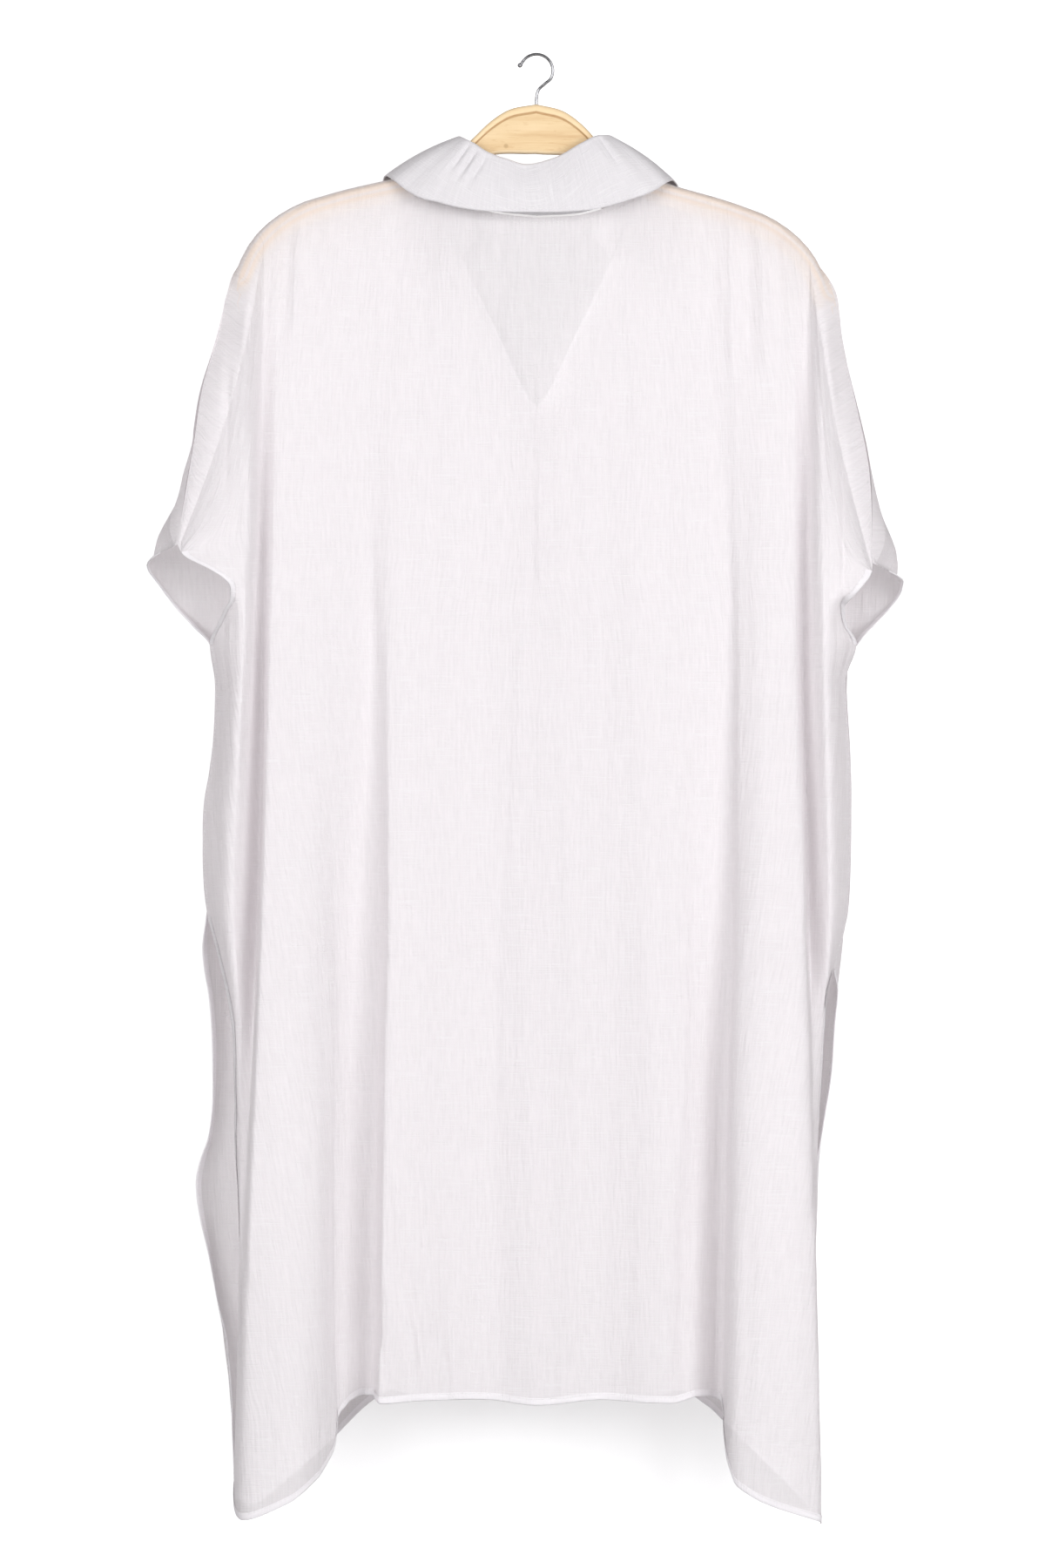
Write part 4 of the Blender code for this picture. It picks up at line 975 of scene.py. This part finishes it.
FRONT_SIDE_RIGHT = (
    ("outer_lip", 0.30, 5, 1084, (191, 198, 202, 202, 200), (8.6, 27, 34, 38, 47)),
    ("furrow", 0.35, 6, 1088, (204, 208, 212, 209, 204), (8.6, 13, 14, 21, 38)),
    ("side_ridge", 0.50, 22, 1089, (217, 228, 228, 215, 208), (12, 31, 30, 30, 32)),
)
CUFF_FRONT_LEFT = (
    (366.7, 268.2, 28), (377, 288, 19), (382, 291.5, 7), (398, 282, -14), (413, 271, -24),
    (427, 258, -20), (441, 244.7, -0.5),
)
CUFF_FRONT_RIGHT = (
    (380.4, 251.2, 22), (386, 263, 17), (394, 275, 6), (400, 274, -4), (425, 254, -15),
    (436, 244, -8), (441, 240, -0.5),
)
SLIT_FRONT_LEFT = (
    (670, 250.3, -6), (708, 245.3, -10), (760, 242.7, -13), (808, 245.5, -16), (830, 253, -16),
    (846, 255.5, -16), (870, 252.5, -16), (895, 246.6, -16), (935, 239, -14), (966, 232.5, -12),
    (1036, 227.7, -10), (1080, 226, -9),
)
SLIT_FRONT_RIGHT = (
    (700, 226, -5), (725, 223.8, -9), (767, 221, -12), (800, 215.7, -16), (840, 209.5, -20),
    (900, 208, -21), (1000, 209, -20), (1090, 206, -16),
)
SLEEVE_ROLL_LEFT = (
    (280, 254, -10), (330, 268, -6), (367, 286, -6), (381, 288, -10), (398, 277, -24),
    (413, 264, -31), (427, 250, -32), (441, 240, -21), (540, 240, -20), (640, 242, -18),
    (740, 237, -22), (846, 243, -27), (1050, 226, -22),
)
SLEEVE_ROLL_RIGHT = (
    (290, 247, -8), (340, 258, -6), (380, 271, -8), (399, 268, -15), (425, 248, -26),
    (441, 235, -20), (540, 232, -20), (640, 231.5, -18), (740, 221, -20), (846, 212, -26),
    (1050, 209, -25),
)
NECK_FRONT = (
    (-1.0, -13, -14.6, -268), (-0.9, 0, -14.5, -262), (-0.62, 30, -13.8, -206),
    (-0.38, 56, -13, -152), (-0.22, 69, -12.4, -122), (-0.1, 80, -10, -101),
    (-0.045, 84.5, -7.3, -92.4), (0.0, 88, 0, -87.4),
)
# How far the right front is lifted over the left: fully up to LAP_FULL from the middle, and not
# at all from LAP_NONE on.
LAP_LIFT = 3.1 * MM
LAP_FULL = 20 * MM
LAP_NONE = 60 * MM
FRONT_NECK_HEM = 6 * MM
FRONT_NECK_STITCHING = 5 * MM
FRONT_CREASES_LEFT = (
    (160, 104, 172, 250, 5, 1.5), (176, 108, 192, 270, 5, -1.6), (128, 96, 130, 230, 7, 0.9),
    (192, 124, 200, 300, 5, 1.4), (108, 760, 100, 1004, 7, 1.4), (124, 860, 116, 1004, 5, -1.5),
    (70, 520, 66, 900, 10, 0.9), (150, 600, 148, 1010, 7, 1.0), (46, 300, 60, 560, 8, -0.8),
)
FRONT_CREASES_RIGHT = (
    (156, 102, 166, 240, 5, 1.6), (170, 106, 184, 262, 4, -1.5), (138, 98, 142, 220, 7, 0.8),
    (194, 128, 202, 310, 5, 1.3), (112, 800, 106, 1004, 6, -1.3), (130, 820, 124, 1004, 6, 1.5),
    (74, 460, 70, 860, 10, -0.9), (152, 640, 148, 1010, 7, -1.0), (50, 320, 64, 600, 8, 0.8),
)


def lapped_over(grid):
    """The right front, lifted clear of the left front and its band where it laps over them."""
    near = np.clip((LAP_NONE - np.abs(grid[..., 0])) / (LAP_NONE - LAP_FULL), 0, 1)
    grid[..., 1] -= LAP_LIFT * near * near * (3 - 2 * near)
    return grid


def front_panel(word, side, table, edge, roll, loose, creases, seed):
    """One front, its hems and stitches. Returns its grid as it is before the creases."""
    lines = fold_lines(FRONT + table, -1, edge, EDGE_HEM[f"front_{word}"], roll)
    plain = panel_grid(lines, NECK_FRONT, loose, side)
    if side < 0:
        plain = lapped_over(plain)
    cloth = creased(plain, -1, creases, seed)
    made = grid_mesh(f"front_panel_{word}", cloth, CLOTH, places_on(cloth))
    mark_wood(made, cloth)
    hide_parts(f"front_{word}")
    cuff, _, slit = side_strips(cloth, word)
    bottom = cloth[::-1].transpose(1, 0, 2)[:, :6]
    on_it, rows = [], []
    for place, strip in (("hem", bottom), ("cuff_hem", cuff), ("slit_hem", slit)):
        on_it.append(turned_hem(f"front_{place}_{word}", strip))
        rows.append(stitch_path(strip, HEM_STITCHING, -1))
    neck = cloth.transpose(1, 0, 2)[8:42, :14]
    on_it.append(turned_hem(f"front_neck_edge_{word}", neck, FRONT_NECK_HEM))
    rows.append(stitch_path(neck, FRONT_NECK_STITCHING, -1))
    on_it.append(stitches(f"front_stitches_{word}", rows))
    return plain


grids["front_left"] = front_panel(
    "left", 1, FRONT_SIDE_LEFT, side_edge(CUFF_FRONT_LEFT, SIDE_SEAM_LEFT, SLIT_FRONT_LEFT),
    SLEEVE_ROLL_LEFT, LOOSE_SEAM_LEFT, FRONT_CREASES_LEFT, 21)
grids["front_right"] = front_panel(
    "right", -1, FRONT_SIDE_RIGHT,
    side_edge(CUFF_FRONT_RIGHT, SIDE_SEAM_RIGHT, SLIT_FRONT_RIGHT),
    SLEEVE_ROLL_RIGHT, LOOSE_SEAM_RIGHT, FRONT_CREASES_RIGHT, 22)


# The two bands: straight strips of the cloth, folded double over a light interfacing and
# stitched down along both edges of each front's opening. The lower one, on the wearer's left,
# carries the buttons, and the upper one has eight upright buttonholes worked in thread.
BAND_WIDTH = 25 * MM
BAND_THICKNESS = 0.8 * MM
BAND_OFF_FRONT = 1.4 * MM
BAND_PAST_MIDDLE = 13 * MM
BAND_STITCHING = 1.8 * MM
BUTTON_COUNT = 8
FIRST_BUTTON = 279 * MM
BUTTON_SPACING = 92 * MM
BUTTONHOLE = 14 * MM
BUTTONHOLE_RIM = ((0.45, 0.05), (0.8, 0.4), (1.15, 0.4), (1.5, 0.02))
BUTTONHOLE_TURNS = 44
BAND_CLOTH = cloth_finish(
    "interfaced cloth of the bands", (0.94, 0.925, 0.935), (0.97, 0.96, 0.965), 0.45, 0, 0.1)


def thickened(made, thickness):
    modifier = made.modifiers.new("Thickness", "SOLIDIFY")
    modifier.thickness = thickness
    modifier.offset = 0


def front_band(word, front, side):
    """A strip of the front's own points, from its edge to the band's stitching, moved out."""
    strip = []
    for row in front[5:]:
        x = row[:, 0] * side
        order = np.argsort(x)
        at = np.linspace(x[0], BAND_WIDTH - BAND_PAST_MIDDLE, 11)
        depths, heights = (np.interp(at, x[order], row[order, k]) for k in (1, 2))
        strip.append(np.stack([side * at, depths, heights], axis=1))
    strip = np.array(strip)
    strip += outward_normals(strip, -1) * BAND_OFF_FRONT
    places = np.stack([strip[..., 0] * side, -strip[..., 2]], axis=-1)
    made = grid_mesh(f"front_band_{word}", strip, BAND_CLOTH, places)
    thickened(made, BAND_THICKNESS)
    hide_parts(f"band_{word}")
    on_band = BAND_THICKNESS / 2 + 0.1 * MM
    rows = [stitch_path(lines, BAND_STITCHING, -1, on_band) for lines in (strip, strip[:, ::-1])]
    on_it = [stitches(f"band_stitches_{word}", rows)]
    return strip


def button_places(face):
    """(height, depth) of each buttonhole on the face of the upper band."""
    for number in range(BUTTON_COUNT):
        height = -(FIRST_BUTTON + number * BUTTON_SPACING)
        yield height, np.interp(-height, -face[:, 2], face[:, 1]) - BAND_THICKNESS / 2


def buttonholes(face):
    """Worked buttonholes: the raised oval rims of close stitches that the buttons stand in."""
    rim_points, rim_faces = [], []
    rings = len(BUTTONHOLE_RIM)
    for height, depth in button_places(face):
        start = len(rim_points)
        for turn in range(BUTTONHOLE_TURNS):
            angle = 2 * math.pi * turn / BUTTONHOLE_TURNS
            run = (BUTTONHOLE / 2 - 1.2 * MM) * (1 if math.sin(angle) > 0 else -1)
            for radius, rise in BUTTONHOLE_RIM:
                reach = (radius + 0.12 * (turn % 2)) * MM
                z = reach * math.sin(angle) + run
                rim_points.append((reach * math.cos(angle), depth - rise * MM, height + z))
            for ring in range(rings - 1):
                a = start + turn * rings + ring
                b = start + (turn + 1) % BUTTONHOLE_TURNS * rings + ring
                rim_faces.append((a, b, b + 1, a + 1))
    made = smooth_mesh("buttonholes", rim_points, rim_faces, THREAD)


bands = {
    "left": front_band("left", grids["front_left"], 1),
    "right": front_band("right", grids["front_right"], -1),
}
buttonholes(bands["right"][:, 5])


# The buttons: flat round shirt buttons of pearly white resin, with a raised rim, a dished
# middle and four holes. Each is sewn to the lower band with crossed thread and comes out
# through its buttonhole in the upper one.
BUTTON_DIAMETER = 11 * MM
BUTTON_THICKNESS = 2.2 * MM
BUTTON_PROUD = 0.5 * MM
BUTTON_HOLE = 1.0 * MM
BUTTON_HOLES_FROM_MIDDLE = 1.45 * MM
# Each button is turned by its own small angle. Its threads' lines run on past the holes, so that
# the one stitch on each line spans them.
BUTTON_TURN = 0.35
BUTTON_TURN_STEP = 2.3
THREAD_LINE = (-2.8, 2.8, 9)
BUTTON_PROFILE = (
    (0, 0.10), (0.6, 0.04), (0.9, 0.10), (0.985, 0.35), (1.0, 0.6), (0.96, 0.88), (0.88, 1.0),
    (0.76, 0.98), (0.66, 0.72), (0.5, 0.64), (0, 0.62),
)


def pearl_finish():
    """Pearly resin: faint cloudy bands, and a soft gloss coat."""
    made, tree, shader = new_finish(
        "pearly resin", (0.93, 0.92, 0.90), 0.22, {"Coat Weight": 0.6, "Coat Roughness": 0.08})
    cloud = noise(tree, object_place(tree), 260.0, 2.0, Distortion=1.6)
    tint = colour_steps(tree, cloud, (
        (0.3, (0.84, 0.84, 0.85)), (0.7, (0.98, 0.97, 0.94)), (0.5, (0.93, 0.92, 0.91)),
    ))
    tree.links.new(tint, shader.inputs["Base Color"])
    return made


def button_mesh(finish):
    """One button: its profile turned once round, and four holes drilled through."""
    work = bmesh.new()
    radius = BUTTON_DIAMETER / 2
    points = [
        work.verts.new((radius * r, -BUTTON_THICKNESS * t, 0))
        for r, t in through(np.arange(len(BUTTON_PROFILE)), BUTTON_PROFILE, np.linspace(0, 10, 31))
    ]
    edges = [work.edges.new(pair) for pair in zip(points, points[1:])]
    bmesh.ops.spin(
        work, geom=edges, axis=(0, 1, 0), cent=(0, 0, 0), steps=40, angle=2 * math.pi,
        use_merge=True,
    )
    bmesh.ops.remove_doubles(work, verts=work.verts, dist=1e-6)
    bmesh.ops.recalc_face_normals(work, faces=work.faces)
    blank = bpy.data.meshes.new("button_blank")
    work.to_mesh(blank)
    work.free()
    blank_object = new_object("button_blank", blank)
    drills = []
    for sign_x in (-1, 1):
        for sign_z in (-1, 1):
            bpy.ops.mesh.primitive_cylinder_add(
                vertices=16, radius=BUTTON_HOLE / 2, depth=4 * BUTTON_THICKNESS,
                location=(sign_x * BUTTON_HOLES_FROM_MIDDLE, -BUTTON_THICKNESS / 2,
                          sign_z * BUTTON_HOLES_FROM_MIDDLE),
                rotation=(math.pi / 2, 0, 0),
            )
            drill = bpy.context.object
            cut = blank_object.modifiers.new("Hole", "BOOLEAN")
            cut.object = drill
            cut.operation = "DIFFERENCE"
            drills.append(drill)
    bpy.context.view_layer.update()
    evaluated = blank_object.evaluated_get(bpy.context.evaluated_depsgraph_get())
    drilled = bpy.data.meshes.new_from_object(evaluated)
    for done in drills + [blank_object]:
        bpy.data.objects.remove(done, do_unlink=True)
    drilled.materials.clear()
    drilled.materials.append(finish)
    drilled.shade_smooth()
    return drilled


def sew_on_buttons(face):
    """The row of buttons, each with two crossed threads."""
    drilled = button_mesh(pearl_finish())
    crosses = []
    for number, (height, depth) in enumerate(button_places(face)):
        depth -= BUTTON_PROUD
        made = new_object(f"shirt_button_{number + 1}", drilled.copy())
        made.location = (0, depth, height)
        made.rotation_euler = (0, BUTTON_TURN * math.sin(BUTTON_TURN_STEP * number), 0)
        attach(made, "root")
        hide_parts(f"button_{number + 1}")
        turn = made.rotation_euler[1]
        y = depth - BUTTON_PROFILE[-1][1] * BUTTON_THICKNESS - 0.25 * MM
        for way in (-1, 1):
            x = BUTTON_HOLES_FROM_MIDDLE * (way * math.cos(turn) + math.sin(turn))
            z = BUTTON_HOLES_FROM_MIDDLE * (math.cos(turn) - way * math.sin(turn))
            line = [(x * s, y, height + z * s) for s in np.linspace(*THREAD_LINE)]
            crosses.append((np.array(line), np.tile((0.0, -1.0, 0.0), (9, 1))))
    span = 2 * math.sqrt(2) * BUTTON_HOLES_FROM_MIDDLE
    stitches("button_threads", crosses, length=span, pitch=0.9 * span, radius=0.28 * MM)


sew_on_buttons(bands["right"][:, 5])


# The collar: one turned-down collar of two cloths over an interfacing, sewn round the neckline
# and topstitched near its edge. Its stand rises from the neck seam, folds over, and its leaf
# lies on the shoulders. A station gives the way round from the middle of the back (0) over the
# shoulder (1) to the front end, then the fold's and the edge's distance, depth and height.
COLLAR_LEFT = (
    (0, (6, 15, -82.5), (0, 26, -118.6)),
    (0.22, (22, 15, -78.5), (22, 26.5, -118.4)),
    (0.45, (36, 15, -73.5), (46, 26.5, -117)),
    (0.7, (47, 13.5, -66.5), (72, 25, -111.5)),
    (0.9, (53, 9, -63.5), (97, 19, -102)),
    (0.955, (55, 5, -62.5), (107, 13, -94)),
    (1.0, (56, 0, -62), (113, 0, -90)),
    (1.045, (56, -5, -63.5), (115, -10, -94)),
    (1.1, (56, -10, -67), (113.5, -16, -99)),
    (1.22, (53, -16.5, -87), (108, -22, -120)),
    (1.38, (46, -21, -136), (93, -26, -171)),
)
COLLAR_RIGHT = (
    (0.22, (15, 15, -77), (22, 26.5, -118.4)),
    (0.45, (32, 15, -67.5), (46, 26.5, -116)),
    (0.7, (44, 13.5, -61.5), (70, 25, -109)),
    (0.9, (50, 9, -60.8), (90, 19, -101)),
    (0.955, (53, 5, -61), (98, 13, -95.5)),
    (1.0, (54, 0, -62), (102.5, 0, -93.5)),
    (1.045, (55, -5, -64), (106, -10, -97)),
    (1.1, (55.5, -10, -69), (107, -16, -102)),
    (1.22, (53.5, -16.5, -90), (106.5, -22, -124)),
    (1.38, (46, -21, -136), (93, -26, -172)),
)
COLLAR_THICKNESS = 1.1 * MM
COLLAR_SEAT = 1.5 * MM
COLLAR_FRONT_END = -0.38
COLLAR_FOLD_RADIUS = 2.4 * MM
COLLAR_LEAF_CROWN = 2.5 * MM
COLLAR_STITCHING = 3.0 * MM
# Drag creases in the leaf near its peaks: way round, share of the way from the fold to the
# edge, half length along the leaf, half width round it, depth, and how far it leans.
COLLAR_CREASES = (
    (0.50, 0.30, 0.26, 0.030, -2.2, 0.16), (0.62, 0.26, 0.26, 0.028, -2.4, 0.10),
    (0.74, 0.26, 0.24, 0.028, -2.0, 0.05), (0.56, 0.28, 0.26, 0.026, 1.2, 0.13),
    (-0.62, 0.20, 0.22, 0.032, 1.2, -0.06), (-0.74, 0.24, 0.24, 0.028, -1.0, -0.05),
    (0.08, 0.18, 0.22, 0.06, -0.8, 0.0), (-0.25, 0.6, 0.5, 0.10, 0.6, 0.0),
)
# The collar's cloth is painted much darker than the body's white cloth: painted shade on the same
# white cloth.
COLLAR_CLOTH = cloth_finish(
    "interfaced collar cloth, painted darker as shade", (0.76, 0.735, 0.75), (0.81, 0.79, 0.80), 0.4, 0, 0.04)


def leaving(edge, inner):
    """The direction in which cloth leaves each point of its edge, square to the edge."""
    along = unit(np.gradient(edge, axis=0))
    inside = inner - edge
    return unit(inside - along * np.sum(inside * along, axis=1, keepdims=True))


def neck_seam():
    """(ways round, points) of the collar's seam, from its right front end to its left."""
    halves = []
    neck = FINE_COLUMNS <= 1e-9
    ways = 1 + FINE_COLUMNS[neck]
    front_kept = (FINE_COLUMNS[neck] >= COLLAR_FRONT_END) & (FINE_COLUMNS[neck] < -1e-9)
    for word in ("left", "right"):
        lines = []
        for face in ("back", "front"):
            grid = grids[f"{face}_{word}"][:, neck]
            lines.append(grid[0] - leaving(grid[0], grid[1]) * COLLAR_SEAT)
        back, front = lines
        shoulder = (back[-1:] + front[-1:]) / 2 + (0, 0, COLLAR_SEAT)
        halves.append(np.concatenate([back[:-1], shoulder, front[front_kept][::-1]]))
    half_ways = np.concatenate([ways, 2 - ways[front_kept][::-1]])
    return (np.concatenate([-half_ways[:0:-1], half_ways]),
            np.concatenate([halves[1][:0:-1], halves[0]]))


def collar_cloth():
    """The collar: its stand up from the seam, the fold, and its leaf down to the edge."""
    at, seam = neck_seam()
    mirror = (-1, 1, 1)
    right = [(-way, np.multiply(fold, mirror), np.multiply(edge, mirror))
             for way, fold, edge in reversed(COLLAR_RIGHT)]
    rows = right + list(COLLAR_LEFT)
    knots = [row[0] for row in rows]
    fold, edge = (through(knots, np.array([row[k] for row in rows]) * MM, at) for k in (1, 2))
    outward = edge - seam
    upward = unit(fold - (seam + edge) / 2)
    outward = unit(outward - upward * np.sum(outward * upward, axis=1, keepdims=True))
    centre = fold - upward * COLLAR_FOLD_RADIUS
    inner = centre - outward * COLLAR_FOLD_RADIUS
    outer = centre + outward * COLLAR_FOLD_RADIUS
    lines = [seam + (inner - seam) * share for share in np.linspace(0, 1, 12)[:-1]]
    for angle in np.radians(np.linspace(180, 0, 13)):
        reach = outward * math.cos(angle) + upward * math.sin(angle)
        lines.append(centre + reach * COLLAR_FOLD_RADIUS)
    for share in np.linspace(0, 1, 30)[1:]:
        crown = outward * COLLAR_LEAF_CROWN * 4 * share * (1 - share)
        dent = np.zeros(len(at))
        for way, along, half_length, half_width, depth, lean in COLLAR_CREASES:
            across = (at - way - lean * (share - along)) / half_width
            down = (share - along) / half_length
            dent += depth * MM * np.exp(-across * across - down * down)
        fade = min(1, (1 - share) / 0.12)
        lines.append(outer + (edge - outer) * share + crown + outward * (dent * fade)[:, None])
    grid = clear_of_wood(np.stack(lines))
    places = np.stack(np.broadcast_arrays(travelled(edge), travelled(grid)), axis=-1)
    made = grid_mesh("collar_cloth", grid, COLLAR_CLOTH, places)
    thickened(made, COLLAR_THICKNESS)
    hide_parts("collar")
    leaf = grid[::-1].transpose(1, 0, 2)[:, :12]
    rows = []
    for strip in (leaf, grid[24:], grid[24:, ::-1]):
        path, normal = stitch_path(strip, COLLAR_STITCHING, 1, 0)
        sign = np.sign(np.sum(normal * (path - (0, 0, path[:, 2].mean())), axis=1))[:, None]
        rows.append((path + normal * sign * (COLLAR_THICKNESS / 2 + 0.08 * MM), normal * sign))
    on_it = [stitches("collar_stitches", rows)]


collar_cloth()


# The room: a pale floor well below the hem and a white studio wall close behind the shirt, so that
# the shirt's soft shadow falls on it. A camera behind the wall looks through it, and the lamp on
# that side shines through it. Each shows its pale colour and glow only to the camera. Seen through
# the cloth, and to bounced light, it shows a darker painted shade instead.
FLOOR = -1.62
WALL_BEHIND = -0.1
WALL_GLOW = 0.335


def room_plane(name, corners, colour, glow, painted_shade_colour):
    """A plane that shows its colour and glow to the camera, and a darker painted shade colour to
    all other rays, also those through the cloth.
    """
    finish, tree, shader = new_finish(name, colour, 0.9, {"Emission Color": (1, 1, 1, 1)})
    mottle = noise(tree, object_place(tree), 2.0, 4.0)
    tint = colour_steps(tree, mottle, ((0.3, tuple(0.99 * c for c in colour)), (0.7, colour)))
    ray = add_node(tree, "ShaderNodeLightPath").outputs
    bare = maths(tree, ray["Transparent Depth"], 0.5, "LESS_THAN")
    seen = maths(tree, ray["Is Camera Ray"], bare, "MULTIPLY")
    tree.links.new(blend(tree, seen, painted_shade_colour, tint), shader.inputs["Base Color"])
    tree.links.new(maths(tree, seen, glow, "MULTIPLY"), shader.inputs["Emission Strength"])
    facing = add_node(tree, "ShaderNodeNewGeometry").outputs
    let_through = maths(tree, facing["Backfacing"], ray["Is Shadow Ray"], "MAXIMUM")
    two_shaders(tree, let_through, shader, add_node(tree, "ShaderNodeBsdfTransparent"))
    mesh = bpy.data.meshes.new(name)
    mesh.from_pydata(corners, [], [(0, 1, 2, 3)])
    mesh.materials.append(finish)
    made = new_object(name, mesh)


# The last colour given is each plane's painted shade, shown to every ray but the camera's own:
# grey for the floor, dark grey for the wall behind the shirt.
room_plane("pale_floor", [(-7, -7, FLOOR), (7, -7, FLOOR), (7, 7, FLOOR), (-7, 7, FLOOR)],
           (0.86, 0.86, 0.86), 0.0, (0.6, 0.6, 0.6))
room_plane("white_wall", [(5, WALL_BEHIND, FLOOR), (-5, WALL_BEHIND, FLOOR),
                          (-5, WALL_BEHIND, 3), (5, WALL_BEHIND, 3)],
           (0.93, 0.93, 0.93), WALL_GLOW, (0.22, 0.21, 0.205))


# The light: a white room, a large soft light before the back on the photograph's right, a
# weaker one on its left, and a faint one on the buttoned side.
LIT_SPOT = (0, 0, -0.55)
for name, place, size, power in (
    ("key_light", (-2.4, 3.4, 0.3), 2.4, 112), ("fill_light", (2.2, 3.3, 0.5), 2.4, 80),
    ("front_side_light", (0.9, -3.7, 0.3), 2.2, 62),
):
    lamp = bpy.data.lights.new(name, "AREA")
    lamp.shape = "SQUARE"
    lamp.size = size
    lamp.energy = power
    lamp.color = (0.985, 0.985, 1.0)
    light = new_object(name, lamp)
    light.location = place
    way = np.array(LIT_SPOT) - np.array(place)
    from_z = math.atan2(math.hypot(way[0], way[1]), -way[2])
    light.rotation_euler = (from_z, 0, math.atan2(way[1], way[0]) - math.pi / 2)
world = bpy.data.worlds.new("white room")
world.use_nodes = True
sky = world.node_tree.nodes["Background"].inputs
sky["Color"].default_value = (1.0, 0.995, 1.0, 1)
sky["Strength"].default_value = 0.26
bpy.context.scene.world = world
bpy.context.scene.view_settings.view_transform = "Standard"
bpy.context.scene.view_settings.look = "None"


# The camera: a long lens straight behind the shirt, level with its middle.
CAMERA_AWAY = 8.0
CAMERA_ACROSS = 0.0104
CAMERA_HEIGHT = -0.5455
FRAME_HEIGHT = 1.1745
camera_data = bpy.data.cameras.new("camera")
camera_data.sensor_width = 36
camera_data.lens = 36 * CAMERA_AWAY / FRAME_HEIGHT
camera = new_object("camera", camera_data)
camera.location = (CAMERA_ACROSS, CAMERA_AWAY, CAMERA_HEIGHT)
camera.rotation_euler = (math.pi / 2, 0, math.pi)
bpy.context.scene.camera = camera
